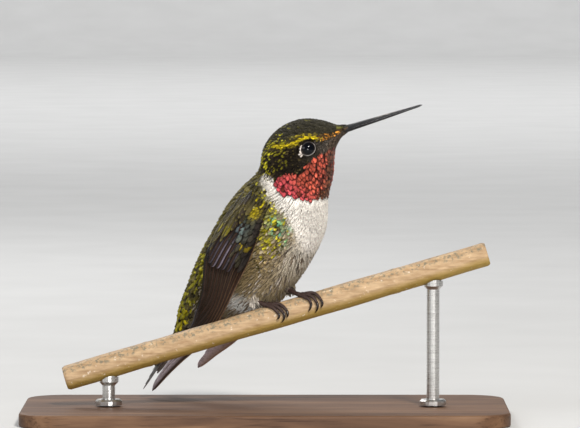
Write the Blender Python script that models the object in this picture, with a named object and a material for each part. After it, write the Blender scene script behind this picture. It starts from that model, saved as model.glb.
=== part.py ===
"""Male ruby-throated hummingbird, life size, gripping a short length of cane on a plain display stand.

The bird is drawn in its own frame, in millimetres: f runs forward, l to the bird's left and u up.
pose() turns and leans that frame on the perch; the world has +Z up and its origin in the middle of
the underside of the stand's base. The head turns a little on the neck, which turn_head() shares out.
"""
from math import cos, pi, radians, sin

import bmesh
import bpy
import numpy as np
from mathutils import Matrix, Vector

MM = 0.001
GAP = 0.3            # clearance between neighbouring pieces
EYE_GAP = 0.2        # clearance round an eyeball
BEAK_GAP = 0.12      # slit between the closed halves of the bill

# Display stand
BASE_LENGTH = 84.0
BASE_DEPTH = 42.0
BASE_THICKNESS = 2.4
BASE_CORNER = 7.0
BASE_BEVEL = 0.5
ROD_PLACES = {"stand_rod_left": -27.0, "stand_rod_right": 29.0}
ROD_RADIUS = 1.1
ROD_COLLAR_RADIUS = 2.3
ROD_COLLAR_HEIGHT = 1.0
ROD_HEAD_RADIUS = 1.7
ROD_HEAD_HEIGHT = 3.0

# Perch: a straight cane that rises to the right
PERCH_RADIUS = 2.1
PERCH_SLOPE = radians(16.5)
PERCH_CENTRE = np.array([0.0, -3.0, 17.5])
PERCH_ENDS = (-36.0, 40.0)
PERCH_JOINTS = (-21.0, 23.5)

# How the bird sits
BODY_YAW = radians(28.0)
BODY_ROLL = radians(12.0)
BODY_ORIGIN = np.array([0.0, 7.4, 0.0])
HEAD_TURN = radians(6.0)
HEAD_ROLL = radians(-8.0)

# Cross-sections of the body from the tail's root to the bill's base:
# forward, up, tilt in degrees, then the radius to the back, to the belly and to each side
STATIONS = np.array([
    (-14.6, 13.4, 50, 2.0, 1.4, 3.0),
    (-11.5, 17.3, 48, 3.6, 3.5, 4.4),
    (-7.9, 21.6, 46, 4.8, 6.4, 6.2),
    (-4.0, 25.8, 46, 6.0, 9.6, 7.8),
    (0.1, 30.2, 47, 6.8, 10.3, 8.7),
    (3.9, 34.7, 50, 7.1, 10.2, 8.7),
    (7.2, 38.9, 53, 6.35, 9.5, 7.6),
    (8.3, 40.6, 52, 5.65, 8.9, 7.15),
    (9.3, 42.3, 50, 5.45, 8.25, 7.2),
    (10.2, 43.95, 46, 6.45, 7.8, 6.9),
    (11.2, 45.5, 41, 6.6, 7.55, 6.25),
    (14.1, 47.8, 30, 5.9, 5.8, 5.3),
    (17.3, 50.25, 21, 2.65, 2.25, 2.75),
    (19.0, 50.9, 19, 1.2, 1.1, 1.65),
    (20.8, 51.45, 17, 0.75, 0.65, 0.85),
])
RUMP_END, TRUNK_END, NECK_END = 10.6, 34.0, 40.4   # distances along the body where it is parted
HEAD_FROM, HEAD_FULL = 33.6, 41.2                   # the head's turn grows between these
NECK_PIVOT = np.array([9.3, 0.0, 42.3])
ROUND = 28                                          # sides of the body

# Head
EYE_PLACE = (46.2, radians(92.0))                   # distance along the body, angle from the crown
EYE_RADIUS = 1.55
EYE_DEPTH = 1.0                                     # centre of the eyeball below the cheek
BILL_LENGTH = 14.2
BILL_BASE = np.array([21.0, 0.0, 51.35])
BILL_PITCH = radians(16.2)
BILL_HALF_DEPTH = {"bill_upper": (0.74, 0.30), "bill_lower": (0.46, 0.22)}   # at the base and at the tip
BILL_HALF_WIDTH = (0.74, 0.30)

# Folded wing: a plan with x from the wrist to the tip and y towards the back
WRIST = (8.2, 39.6)
WING_LENGTH = 43.4
WING_PITCH = radians(52.2)
WING_THICKNESS = 0.7
WING_SPREAD = ((0, 8.2), (4, 8.9), (8, 9.4), (12, 9.6), (17, 9.3), (22, 8.4), (28, 6.9), (34, 6.5),
               (42.6, 6.6))
WING_LEAD = ((0, -0.6), (4, -1.9), (8, -2.8), (12, -3.3), (22, -3.8), (32, -2.5), (36, -1.4), (39.5, -0.8),
             (43.4, -0.2))
WING_TRAIL = ((0, 1.5), (2, 4.6), (5, 5.5), (8, 5.7), (12, 5.1), (17, 3.0), (21, 1.3), (28, 0.6), (36, 0.9), (39.5, 0.9),
              (43.4, 0.2))
LEFT_WING_DROP = ((0, 0.0), (12, 0.0), (22, -0.8), (32, -2.1), (38, -1.7), (43.4, -1.0))   # its tip hangs lower
ARM_END, SECONDARY_END = 9.5, 24.0
HAND_SPLIT = ((9.5, 1.2), (17.0, 0.0), (24.0, -0.6))   # where the secondaries meet the primaries

# Tail: two halves, the outer feathers longest
TAIL_ROOT = (-16.12, 14.03)
TAIL_PITCH = radians(49.8)
TAIL_LEAN = 0.16                                    # its left edge is the higher one
TAIL_OUTER, TAIL_INNER = 11.2, 7.0
TAIL_HALF_WIDTH = (2.7, 4.3)                        # at the root and at the tip
TAIL_THICKNESS = 0.6

# Legs and feet. A place on the perch is (distance along it, angle from its top to the front, height)
HIPS = (2.0, 4.3, 25.5)                             # forward, sideways, up, in the bird's frame
THIGH_RADII = (2.3, 2.1, 1.0)
TARSUS_RADII = (0.42, 0.34, 0.42)
PAD_RADIUS = 0.55
TOE_RADII = (0.34, 0.32, 0.29, 0.24, 0.10)
FEET = {
    "right": {"pad": (1.0, 22), "ankle": (-0.9, -8, 1.5), "toes": (
        ((1.9, 49), (2.4, 70), (2.6, 89), (1.9, 104)),
        ((2.6, 48), (3.2, 71), (3.4, 97), (2.5, 124)),
        ((3.3, 44), (3.9, 67), (4.1, 90), (3.7, 108)))},
    "left": {"pad": (7.0, 18), "ankle": (5.4, -22, 1.6), "toes": (
        ((7.8, 44), (8.4, 66), (8.3, 87), (7.5, 109)),
        ((8.6, 41), (9.3, 67), (9.4, 95), (8.6, 125)),
        ((9.4, 36), (10.1, 63), (10.3, 90), (9.8, 108)))},
}
HALLUX = ((0.6, -30), (0.5, -60), (0.4, -88), (0.7, -112))   # along from the pad, angle

FINISH = {
    "crown": ((0.11, 0.10, 0.07), 0.7, 0.0), "green": ((0.23, 0.22, 0.08), 0.6, 0.0),
    "belly": ((0.50, 0.45, 0.36), 0.8, 0.0), "dark": ((0.06, 0.04, 0.035), 0.6, 0.0),
    "horn": ((0.025, 0.022, 0.02), 0.35, 0.0), "eye": ((0.01, 0.01, 0.012), 0.08, 0.0),
    "skin": ((0.10, 0.06, 0.05), 0.5, 0.0), "cane": ((0.62, 0.50, 0.30), 0.7, 0.0),
    "walnut": ((0.17, 0.09, 0.045), 0.45, 0.0), "steel": ((0.62, 0.62, 0.60), 0.3, 1.0),
}


def clear_scene():
    for thing in list(bpy.data.objects):
        bpy.data.objects.remove(thing, do_unlink=True)


def finish(name):
    """The material of that name, made once."""
    found = bpy.data.materials.get(name)
    if found:
        return found
    colour, roughness, metallic = FINISH[name]
    made = bpy.data.materials.new(name)
    made.use_nodes = True
    shader = made.node_tree.nodes["Principled BSDF"]
    shader.inputs["Base Color"].default_value = (*colour, 1.0)
    shader.inputs["Roughness"].default_value = roughness
    shader.inputs["Metallic"].default_value = metallic
    return made


# ---------------------------------------------------------------- curves and frames

def curve(points, at):
    """Smooth curve through rows whose first column is the parameter."""
    rows = np.asarray(points, float)
    knots, values = rows[:, 0], rows[:, 1:]
    slopes = np.gradient(values, knots, axis=0)
    at = np.atleast_1d(np.asarray(at, float))
    left = np.clip(np.searchsorted(knots, at, side="right") - 1, 0, len(knots) - 2)
    width = (knots[left + 1] - knots[left])[:, None]
    x = (at - knots[left])[:, None] / width
    return ((2 * x**3 - 3 * x**2 + 1) * values[left] + (x**3 - 2 * x**2 + x) * width * slopes[left]
            + (3 * x**2 - 2 * x**3) * values[left + 1] + (x**3 - x**2) * width * slopes[left + 1])


def spread(points):
    """Rows with the distance along them put in front."""
    points = np.asarray(points, float)
    steps = np.linalg.norm(np.diff(points[:, :3], axis=0), axis=1)
    return np.column_stack([np.r_[0.0, np.cumsum(steps)], points])


def smooth_step(x):
    x = np.clip(x, 0.0, 1.0)
    return x * x * (3.0 - 2.0 * x)


def turn_head(points, share):
    """Roll and turn points of the bird's frame about the neck by a share of the head's pose."""
    f, l, u = (points - NECK_PIVOT).T
    roll, turn = share * HEAD_ROLL, share * HEAD_TURN
    l, u = l * np.cos(roll) - u * np.sin(roll), l * np.sin(roll) + u * np.cos(roll)
    f, l = f * np.cos(turn) - l * np.sin(turn), f * np.sin(turn) + l * np.cos(turn)
    return np.column_stack([f, l, u]) + NECK_PIVOT


def pose(points):
    """From the bird's frame to the world."""
    f, l, u = np.asarray(points, float).T
    l, u = l * cos(BODY_ROLL) - u * sin(BODY_ROLL), l * sin(BODY_ROLL) + u * cos(BODY_ROLL)
    x, y = f * cos(BODY_YAW) + l * sin(BODY_YAW), -f * sin(BODY_YAW) + l * cos(BODY_YAW)
    return np.column_stack([x, y, u]) + BODY_ORIGIN


def on_perch(along, degrees, height):
    """A world point beside the perch: angle 0 is its top, 90 its front, height is above its bark."""
    angle, out = radians(degrees), PERCH_RADIUS + height
    axis = np.array([cos(PERCH_SLOPE), 0.0, sin(PERCH_SLOPE)])
    top = np.array([-sin(PERCH_SLOPE), 0.0, cos(PERCH_SLOPE)])
    front = np.array([0.0, -1.0, 0.0])
    return PERCH_CENTRE + along * axis + out * (cos(angle) * top + sin(angle) * front)


SPINE = None


def spine():
    """Stations of the body with the distance along it in front."""
    global SPINE
    if SPINE is None:
        steps = np.linalg.norm(np.diff(STATIONS[:, :2], axis=0), axis=1)
        SPINE = np.column_stack([np.r_[0.0, np.cumsum(steps)], STATIONS])
    return SPINE


def body_point(along, angle, inset=0.0):
    """Points of the body's surface in the bird's frame: angle 0 is the back, a quarter turn the left."""
    along, angle = np.broadcast_arrays(np.asarray(along, float), np.asarray(angle, float))
    f, u, tilt, back, belly, side = curve(spine(), along.ravel()).T
    angle = angle.ravel()
    reach = np.where(np.cos(angle) >= 0.0, back, belly) - inset
    tilt = np.radians(tilt)
    points = np.column_stack([f - np.sin(tilt) * reach * np.cos(angle), (side - inset) * np.sin(angle),
                              u + np.cos(tilt) * reach * np.cos(angle)])
    share = smooth_step((along.ravel() - HEAD_FROM) / (HEAD_FULL - HEAD_FROM))
    return turn_head(points, share)


# ---------------------------------------------------------------- solids

def add_object(name, mesh, material, smooth=True):
    made = bpy.data.objects.new(name, mesh)
    bpy.context.scene.collection.objects.link(made)
    mesh.materials.append(finish(material))
    if smooth:
        mesh.shade_smooth()
        mesh.set_sharp_from_angle(angle=radians(40))
    return made


def loft(name, rings, material, smooth=True):
    """A closed solid through rings of world points, in millimetres, with flat ends."""
    bm = bmesh.new()
    loops = [[bm.verts.new(Vector(point) * MM) for point in ring] for ring in rings]
    count = len(loops[0])
    for low, high in zip(loops, loops[1:]):
        for i in range(count):
            j = (i + 1) % count
            bm.faces.new((low[i], low[j], high[j], high[i]))
    bm.faces.new(loops[0][::-1])
    bm.faces.new(loops[-1])
    bmesh.ops.recalc_face_normals(bm, faces=bm.faces)
    mesh = bpy.data.meshes.new(name)
    bm.to_mesh(mesh)
    bm.free()
    return add_object(name, mesh, material, smooth)


def tube(name, points, radii, material, sides=10, steps=4):
    """A round tube along a smooth path of world points, its radius set at each point."""
    path = spread(np.column_stack([points, radii]))
    fine = np.linspace(0.0, path[-1, 0], steps * (len(points) - 1) + 1)
    rows = curve(path, fine)
    rings = []
    side = None
    for i, row in enumerate(rows):
        ahead = Vector(rows[min(i + 1, len(rows) - 1), :3] - rows[max(i - 1, 0), :3]).normalized()
        side = (side or ahead.orthogonal())
        side = (side - ahead * side.dot(ahead)).normalized()
        other = ahead.cross(side)
        radius = float(row[3])
        rings.append([Vector(row[:3]) + radius * (cos(a) * side + sin(a) * other)
                      for a in np.linspace(0.0, 2 * pi, sides, endpoint=False)])
    return loft(name, rings, material)


def ball(name, centre, radius, material, detail=3):
    bm = bmesh.new()
    place = Matrix.Translation(Vector(centre) * MM)
    bmesh.ops.create_icosphere(bm, subdivisions=detail, radius=radius * MM, matrix=place)
    mesh = bpy.data.meshes.new(name)
    bm.to_mesh(mesh)
    bm.free()
    return add_object(name, mesh, material)


def combine(target, tool, operation="DIFFERENCE"):
    """Cut the tool's volume out of the target, or add it, and keep the tool as a hidden guide."""
    tool.hide_render = True
    tool.display_type = "WIRE"
    change = target.modifiers.new(tool.name, "BOOLEAN")
    change.operation = operation
    change.solver = "EXACT"
    change.object = tool


# ---------------------------------------------------------------- the bird

def body_length(name, start, end, material, step=1.8):
    """One stretch of the body between two distances along it."""
    angles = np.linspace(0.0, 2 * pi, ROUND, endpoint=False)
    stops = np.linspace(start, end, max(3, round((end - start) / step) + 1))
    return loft(name, [pose(body_point(stop, angles)) for stop in stops], material)


def add_body():
    last = spine()[-1, 0]
    half = GAP / 2
    return {
        "rump": body_length("rump", 0.0, RUMP_END - half, "green"),
        "trunk": body_length("trunk", RUMP_END + half, TRUNK_END - half, "belly"),
        "neck": body_length("neck", TRUNK_END + half, NECK_END - half, "green", 1.2),
        "head": body_length("head", NECK_END + half, last, "crown", 0.95),
    }


def add_eyes(head):
    along, angle = EYE_PLACE
    for name, sign in (("left", 1), ("right", -1)):
        skin = body_point(along, sign * angle)[0]
        forward = body_point(along + 0.2, sign * angle)[0] - skin
        downward = body_point(along, sign * (angle + 0.05))[0] - skin
        out = np.cross(forward, downward) * sign
        centre = pose([skin - out / np.linalg.norm(out) * EYE_DEPTH])[0]
        ball(f"eye_{name}", centre, EYE_RADIUS, "eye")
        combine(head, ball(f"socket_{name}", centre, EYE_RADIUS + EYE_GAP, "eye", 2))


def add_bill():
    """The closed bill, its upper and lower halves parted by a thin slit."""
    ahead = np.array([cos(BILL_PITCH), 0.0, sin(BILL_PITCH)])
    above = np.array([-sin(BILL_PITCH), 0.0, cos(BILL_PITCH)])
    for name, sign, length in (("bill_upper", 1, BILL_LENGTH), ("bill_lower", -1, BILL_LENGTH - 0.5)):
        rings = []
        for share in np.linspace(0.0, 1.0, 9):
            taper = share ** 0.8
            depth = BILL_HALF_DEPTH[name][0] + (BILL_HALF_DEPTH[name][1] - BILL_HALF_DEPTH[name][0]) * taper
            width = BILL_HALF_WIDTH[0] + (BILL_HALF_WIDTH[1] - BILL_HALF_WIDTH[0]) * taper
            centre = BILL_BASE + ahead * length * share
            ring = [centre + np.array([0.0, width * cos(a), 0.0])
                    + above * sign * (BEAK_GAP / 2 + depth * sin(a)) for a in np.linspace(0.0, pi, 8)]
            rings.append(pose(turn_head(np.array(ring), 1.0)))
        loft(name, rings, "horn")


def wing_point(side, x, y, out=0.0):
    """A point of the folded wing's plan in the world: x from wrist to tip, y to the back."""
    x, y = np.broadcast_arrays(np.asarray(x, float), np.asarray(y, float))
    spread_out = curve(WING_SPREAD, x)[:, 0] - 0.057 * np.maximum(y - 1.0, 0.0) ** 2 + out
    if side > 0:
        y = y + curve(LEFT_WING_DROP, x)[:, 0]
    f = WRIST[0] - x * cos(WING_PITCH) - y * sin(WING_PITCH)
    u = WRIST[1] - x * sin(WING_PITCH) + y * cos(WING_PITCH)
    return pose(np.column_stack([f, side * spread_out, u]))


def wing_blade(name, side, start, end, lead, trail, material, steps, across=6):
    """A thin curved blade between two edges of the wing's plan."""
    rings = []
    half = WING_THICKNESS / 2
    for x in np.linspace(start, end, steps):
        edges = curve(lead, x)[0, 0], curve(trail, x)[0, 0]
        y = np.linspace(*edges, across)
        body = half * (0.75 + 0.35 * np.sin(np.linspace(0.0, pi, across)))
        outer = wing_point(side, np.full(across, x), y, body)
        inner = wing_point(side, np.full(across, x), y, -half)
        rings.append(np.vstack([outer, inner[::-1]]))
    return loft(name, rings, material)


def add_wing(name, side):
    split = np.array(HAND_SPLIT)
    half_gap = np.array([0.0, GAP / 2])
    trail = curve(WING_TRAIL, np.linspace(SECONDARY_END, WING_LENGTH, 8))[:, 0]
    hand_trail = np.vstack([split - half_gap, np.column_stack(
        [np.linspace(SECONDARY_END + 2.0, WING_LENGTH, 7), trail[1:] - GAP / 2])])
    wing_blade(f"wing_{name}_arm", side, 0.0, ARM_END, WING_LEAD, WING_TRAIL, "green", 8)
    wing_blade(f"wing_{name}_secondaries", side, ARM_END + GAP, SECONDARY_END, split + half_gap,
               WING_TRAIL, "dark", 9)
    wing_blade(f"wing_{name}_primaries", side, ARM_END + GAP, WING_LENGTH, WING_LEAD, hand_trail, "dark", 18)


def add_tail():
    """Two flat halves that part in a fork."""
    back = np.array([-cos(TAIL_PITCH), 0.0, -sin(TAIL_PITCH)])
    above = np.array([-sin(TAIL_PITCH), 0.0, cos(TAIL_PITCH)])
    root = np.array([TAIL_ROOT[0], 0.0, TAIL_ROOT[1]])
    for name, side in (("left", 1), ("right", -1)):
        rings = []
        for share in np.linspace(0.0, 1.0, 7):
            width = TAIL_HALF_WIDTH[0] + (TAIL_HALF_WIDTH[1] - TAIL_HALF_WIDTH[0]) * share
            ring = []
            for across, level in ((0.0, 1), (0.5, 1), (1.0, 1), (1.0, -1), (0.5, -1), (0.0, -1)):
                length = share * (TAIL_INNER + (TAIL_OUTER - TAIL_INNER) * across**1.5)
                out = GAP / 2 + across * (width - GAP / 2)
                droop = side * TAIL_LEAN * out - 0.1 * out - 0.02 * out**2
                ring.append(root + back * length + above * (level * TAIL_THICKNESS / 2 + droop)
                            + np.array([0.0, side * out, 0.0]))
            rings.append(pose(ring))
        loft(f"tail_{name}", rings, "dark")


def add_leg(name, side, trunk):
    """Feathered thigh, bare tarsus, and a foot of four clawed toes round the perch."""
    foot = FEET[name]
    pad = on_perch(*foot["pad"], PAD_RADIUS + GAP)
    ankle = on_perch(*foot["ankle"])
    hip = pose([(HIPS[0], side * HIPS[1], HIPS[2])])[0]
    knee = hip + (ankle - hip) * 0.5
    down = (ankle - hip) / np.linalg.norm(ankle - hip)
    thigh_end = ankle - down * 0.2
    tube(f"thigh_{name}", [hip, knee, thigh_end], THIGH_RADII, "belly", 12)
    grown = [radius + GAP for radius in THIGH_RADII]
    room = [hip - down * GAP, knee, thigh_end + down * 1.0]
    combine(trunk, tube(f"thigh_room_{name}", room, grown, "belly", 12))

    reach = (pad - ankle) / np.linalg.norm(pad - ankle)
    start = ankle + reach * GAP
    end = pad - reach * (PAD_RADIUS + GAP)
    tube(f"tarsus_{name}", [start, (start + end) / 2, end], TARSUS_RADII, "skin", 8)
    whole = ball(f"foot_{name}", pad, PAD_RADIUS, "skin", 2)

    back_toe = tuple((foot["pad"][0] + along, angle) for along, angle in HALLUX)
    for number, places in enumerate((back_toe, *foot["toes"]), start=1):
        path = [on_perch(along, angle, GAP + radius)
                for (along, angle), radius in zip(places, TOE_RADII[1:])]
        toe = tube(f"toe_{name}_{number}", [pad, *path], TOE_RADII, "skin", 8, 3)
        combine(whole, toe, "UNION")


# ---------------------------------------------------------------- perch and stand

def perch_radius(along):
    """The cane swells a little at its joints."""
    swell = sum(0.16 * np.exp(-((along - joint) / 0.9) ** 2) for joint in PERCH_JOINTS)
    return float(PERCH_RADIUS + swell)


def add_perch():
    near_joints = [joint + step for joint in PERCH_JOINTS for step in (-2.0, -0.7, 0.0, 0.7, 2.0)]
    stops = sorted([*np.linspace(*PERCH_ENDS, 9), *near_joints])
    axis = Vector((cos(PERCH_SLOPE), 0.0, sin(PERCH_SLOPE)))
    top = Vector((-sin(PERCH_SLOPE), 0.0, cos(PERCH_SLOPE)))
    front = Vector((0.0, -1.0, 0.0))
    sides = np.linspace(0.0, 2 * pi, 20, endpoint=False)
    return loft("perch", [[Vector(PERCH_CENTRE) + axis * stop
                           + perch_radius(stop) * (cos(a) * top + sin(a) * front) for a in sides]
                          for stop in stops], "cane")


def add_base():
    bm = bmesh.new()
    corners = []
    for cx, cy, start in ((1, 1, 0), (-1, 1, 90), (-1, -1, 180), (1, -1, 270)):
        centre = (cx * (BASE_LENGTH / 2 - BASE_CORNER), cy * (BASE_DEPTH / 2 - BASE_CORNER))
        for turn in np.linspace(start, start + 90, 7):
            corners.append(bm.verts.new(((centre[0] + BASE_CORNER * cos(radians(turn))) * MM,
                                         (centre[1] + BASE_CORNER * sin(radians(turn))) * MM, 0.0)))
    bottom = bm.faces.new(corners)
    raised = bmesh.ops.extrude_face_region(bm, geom=[bottom])
    lifted = [item for item in raised["geom"] if isinstance(item, bmesh.types.BMVert)]
    bmesh.ops.translate(bm, verts=lifted, vec=(0.0, 0.0, BASE_THICKNESS * MM))
    bmesh.ops.recalc_face_normals(bm, faces=bm.faces)
    rim = [edge for edge in bm.edges if all(v.co.z > BASE_THICKNESS * MM * 0.5 for v in edge.verts)]
    bmesh.ops.bevel(bm, geom=rim, offset=BASE_BEVEL * MM, segments=2, affect="EDGES", profile=0.5)
    mesh = bpy.data.meshes.new("stand_base")
    bm.to_mesh(mesh)
    bm.free()
    add_object("stand_base", mesh, "walnut")


def turned(name, x, y, profile, material, sides=20):
    """A solid of revolution about a vertical line, from (height, radius) pairs."""
    rings = [[(x + radius * cos(a), y + radius * sin(a), height)
              for a in np.linspace(0.0, 2 * pi, sides, endpoint=False)] for height, radius in profile]
    return loft(name, rings, material)


def add_rods():
    """Two plain rods, each with a collar on the base and a head that cradles the perch."""
    axis = np.array([cos(PERCH_SLOPE), 0.0, sin(PERCH_SLOPE)])
    for name, x in ROD_PLACES.items():
        foot = BASE_THICKNESS + GAP
        perch_height = PERCH_CENTRE[2] + (x - PERCH_CENTRE[0]) * sin(PERCH_SLOPE) / cos(PERCH_SLOPE)
        top = perch_height - 0.4
        neck = top - ROD_HEAD_HEIGHT
        rod = turned(name, x, PERCH_CENTRE[1], (
            (foot, ROD_COLLAR_RADIUS), (foot + 0.7 * ROD_COLLAR_HEIGHT, ROD_COLLAR_RADIUS),
            (foot + ROD_COLLAR_HEIGHT, ROD_COLLAR_RADIUS - 0.3), (foot + ROD_COLLAR_HEIGHT, ROD_RADIUS),
            (neck, ROD_RADIUS), (neck + 0.6, ROD_HEAD_RADIUS), (top, ROD_HEAD_RADIUS)), "steel")
        middle = np.array([x, PERCH_CENTRE[1], perch_height])
        ends = [middle + axis * reach for reach in (-6.0, 0.0, 6.0)]
        combine(rod, tube(f"cradle_{name}", ends, [PERCH_RADIUS + GAP] * 3, "cane", 24))


def main():
    clear_scene()
    body = add_body()
    add_eyes(body["head"])
    add_bill()
    add_tail()
    for name, side in (("right", -1), ("left", 1)):
        add_wing(name, side)
        add_leg(name, side, body["trunk"])
    add_perch()
    add_base()
    add_rods()


main()
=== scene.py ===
"""Looks of the male ruby-throated hummingbird on its perch and stand.

Lengths are in millimetres until a mesh is made. Places on the bird are given as the part gives them:
a distance along the body and an angle round it, a point of the folded wing's plan, or a place on the
perch. Every feather is a thin closed vane that follows those surfaces, rooted on one skin.
"""
from dataclasses import dataclass
from functools import partial
from math import cos, pi, radians, sin

import bpy
import numpy as np
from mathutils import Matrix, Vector


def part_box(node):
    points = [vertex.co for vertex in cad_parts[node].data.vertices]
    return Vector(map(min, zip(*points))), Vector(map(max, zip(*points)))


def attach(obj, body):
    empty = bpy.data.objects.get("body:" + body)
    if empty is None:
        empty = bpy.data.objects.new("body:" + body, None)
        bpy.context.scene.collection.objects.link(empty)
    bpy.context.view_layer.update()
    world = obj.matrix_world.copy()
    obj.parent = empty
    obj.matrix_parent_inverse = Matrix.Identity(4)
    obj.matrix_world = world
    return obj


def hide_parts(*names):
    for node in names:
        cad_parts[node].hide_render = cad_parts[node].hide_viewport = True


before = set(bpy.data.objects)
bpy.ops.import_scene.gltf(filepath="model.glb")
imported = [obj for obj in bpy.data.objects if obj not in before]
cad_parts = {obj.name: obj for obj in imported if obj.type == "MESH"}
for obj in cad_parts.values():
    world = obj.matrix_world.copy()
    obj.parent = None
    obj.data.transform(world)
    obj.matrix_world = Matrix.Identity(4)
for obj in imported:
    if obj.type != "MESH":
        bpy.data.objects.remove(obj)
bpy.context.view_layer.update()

MM = 0.001
RNG = np.random.default_rng(20)


# ---------------------------------------------------------------- the part's own geometry, repeated

PERCH_RADIUS = 2.1
PERCH_SLOPE = radians(16.5)
PERCH_CENTRE = np.array([0.0, -3.0, 17.5])
PERCH_ENDS = (-36.0, 40.0)
PERCH_JOINTS = (-21.0, 23.5)
BODY_YAW, BODY_ROLL = radians(28.0), radians(12.0)
BODY_ORIGIN = np.array([0.0, 7.4, 0.0])
HEAD_TURN, HEAD_ROLL = radians(6.0), radians(-8.0)
# forward, up, tilt in degrees, and how far the back, the belly and the sides are from there
STATIONS = np.array([
    (-14.6, 13.4, 50, 2.0, 1.4, 3.0),
    (-11.5, 17.3, 48, 3.6, 3.5, 4.4),
    (-7.9, 21.6, 46, 4.8, 6.4, 6.2),
    (-4.0, 25.8, 46, 6.0, 9.6, 7.8),
    (0.1, 30.2, 47, 6.8, 10.3, 8.7),
    (3.9, 34.7, 50, 7.1, 10.2, 8.7),
    (7.2, 38.9, 53, 6.35, 9.5, 7.6),
    (8.3, 40.6, 52, 5.65, 8.9, 7.15),
    (9.3, 42.3, 50, 5.45, 8.25, 7.2),
    (10.2, 43.95, 46, 6.45, 7.8, 6.9),
    (11.2, 45.5, 41, 6.6, 7.55, 6.25),
    (14.1, 47.8, 30, 5.9, 5.8, 5.3),
    (17.3, 50.25, 21, 2.65, 2.25, 2.75),
    (19.0, 50.9, 19, 1.2, 1.1, 1.65),
    (20.8, 51.45, 17, 0.75, 0.65, 0.85),
])
HEAD_FROM, HEAD_FULL = 33.6, 41.2
NECK_PIVOT = np.array([9.3, 0.0, 42.3])
EYE_ALONG, EYE_ANGLE = 46.2, radians(92.0)
EYE_RADIUS = 1.55
BILL_LENGTH = 14.2
BILL_BASE = np.array([21.0, 0.0, 51.35])
BILL_PITCH = radians(16.2)
BILL_HALF_DEPTH = {"bill_upper": (0.74, 0.30), "bill_lower": (0.46, 0.22)}
BILL_HALF_WIDTH = (0.74, 0.30)
WRIST = (8.2, 39.6)
WING_PITCH = radians(52.2)
WING_SPREAD = ((0, 8.2), (4, 8.9), (8, 9.4), (12, 9.6), (17, 9.3), (22, 8.4), (28, 6.9), (34, 6.5),
               (42.6, 6.6))
WING_LEAD = ((0, -0.6), (4, -1.9), (8, -2.8), (12, -3.3), (22, -3.8), (32, -2.5), (36, -1.4),
             (39.5, -0.8), (43.4, -0.2))
WING_TRAIL = ((0, 1.5), (2, 4.6), (5, 5.5), (8, 5.5), (12, 4.7), (15, 3.4), (18, 2.0), (20, 1.35),
              (24, 1.0), (28, 0.7), (36, 0.95), (39.5, 1.2), (43.4, 0.6))
LEFT_WING_DROP = ((0, 0.0), (12, 0.0), (22, -0.8), (32, -2.1), (38, -1.7), (43.4, -1.0))
ARM_END = 9.5
TAIL_ROOT = (-16.12, 14.03)
TAIL_PITCH = radians(49.8)
TAIL_LEAN = 0.16
HIPS = (2.0, 4.3, 25.5)
# places on the perch: distance along it and degrees from its top, and for the ankle its height
FEET = {
    "right": {"pad": (1.0, 22), "ankle": (-0.9, -8, 1.5), "toes": (
        ((1.9, 49), (2.4, 70), (2.6, 89), (1.9, 104)),
        ((2.6, 48), (3.2, 71), (3.4, 97), (2.5, 124)),
        ((3.3, 44), (3.9, 67), (4.1, 90), (3.7, 108)))},
    "left": {"pad": (7.0, 18), "ankle": (5.4, -22, 1.6), "toes": (
        ((7.8, 44), (8.4, 66), (8.3, 87), (7.5, 109)),
        ((8.6, 41), (9.3, 67), (9.4, 95), (8.6, 125)),
        ((9.4, 36), (10.1, 63), (10.3, 90), (9.8, 108)))},
}
HALLUX = ((0.6, -30), (0.5, -60), (0.4, -88), (0.7, -112))
SIDES = {"right": -1, "left": 1}


def curve(points, at):
    """Smooth curve through rows whose first column is the parameter, level beyond its ends."""
    rows = np.asarray(points, float)
    knots, values = rows[:, 0], rows[:, 1:]
    slopes = np.gradient(values, knots, axis=0)
    at = np.atleast_1d(np.asarray(at, float))
    left = np.clip(np.searchsorted(knots, at, side="right") - 1, 0, len(knots) - 2)
    width = (knots[left + 1] - knots[left])[:, None]
    x = (at - knots[left])[:, None] / width
    return ((2 * x**3 - 3 * x**2 + 1) * values[left] + (x**3 - 2 * x**2 + x) * width * slopes[left]
            + (3 * x**2 - 2 * x**3) * values[left + 1] + (x**3 - x**2) * width * slopes[left + 1])


def value(points, at):
    """One number read from a smooth curve, clamped to its ends."""
    at = np.clip(at, points[0][0], points[-1][0])
    return curve(points, np.ravel(at))[:, 0].reshape(np.shape(at))


def smooth(x, low=0.0, high=1.0):
    """0 at low and before it, 1 at high and past it, with an even slope between."""
    x = np.clip((x - low) / (high - low), 0.0, 1.0)
    return x * x * (3.0 - 2.0 * x)


def bell(x, centre, radius):
    """1 at the centre, fading out beyond the radius."""
    return np.exp(-((x - centre) / radius) ** 2)


def band(x, start, full, fade, end):
    """1 from full to fade, 0 before start and past end."""
    return smooth(x, start, full) * smooth(x, end, fade)


def turned(a, b, angle):
    """Two coordinates turned by an angle, from the first towards the second."""
    return a * np.cos(angle) - b * np.sin(angle), a * np.sin(angle) + b * np.cos(angle)


def flat(*rows):
    """Numbers brought to one shape and laid flat, after that shape."""
    rows = np.broadcast_arrays(*(np.asarray(row, float) for row in rows))
    return (rows[0].shape, *(row.ravel() for row in rows))


def turn_head(points, share):
    """Roll and turn points of the bird's frame about the neck by a share of the head's pose."""
    f, l, u = (points - NECK_PIVOT).T
    l, u = turned(l, u, share * HEAD_ROLL)
    f, l = turned(f, l, share * HEAD_TURN)
    return np.column_stack([f, l, u]) + NECK_PIVOT


def pose(points):
    """From the bird's frame, forward, left and up, to the world."""
    f, l, u = np.asarray(points, float).T
    l, u = turned(l, u, BODY_ROLL)
    x, y = turned(f, l, -BODY_YAW)
    return np.column_stack([x, y, u]) + BODY_ORIGIN


COAT_START = -6.0       # the coat begins this far behind the first station


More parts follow.
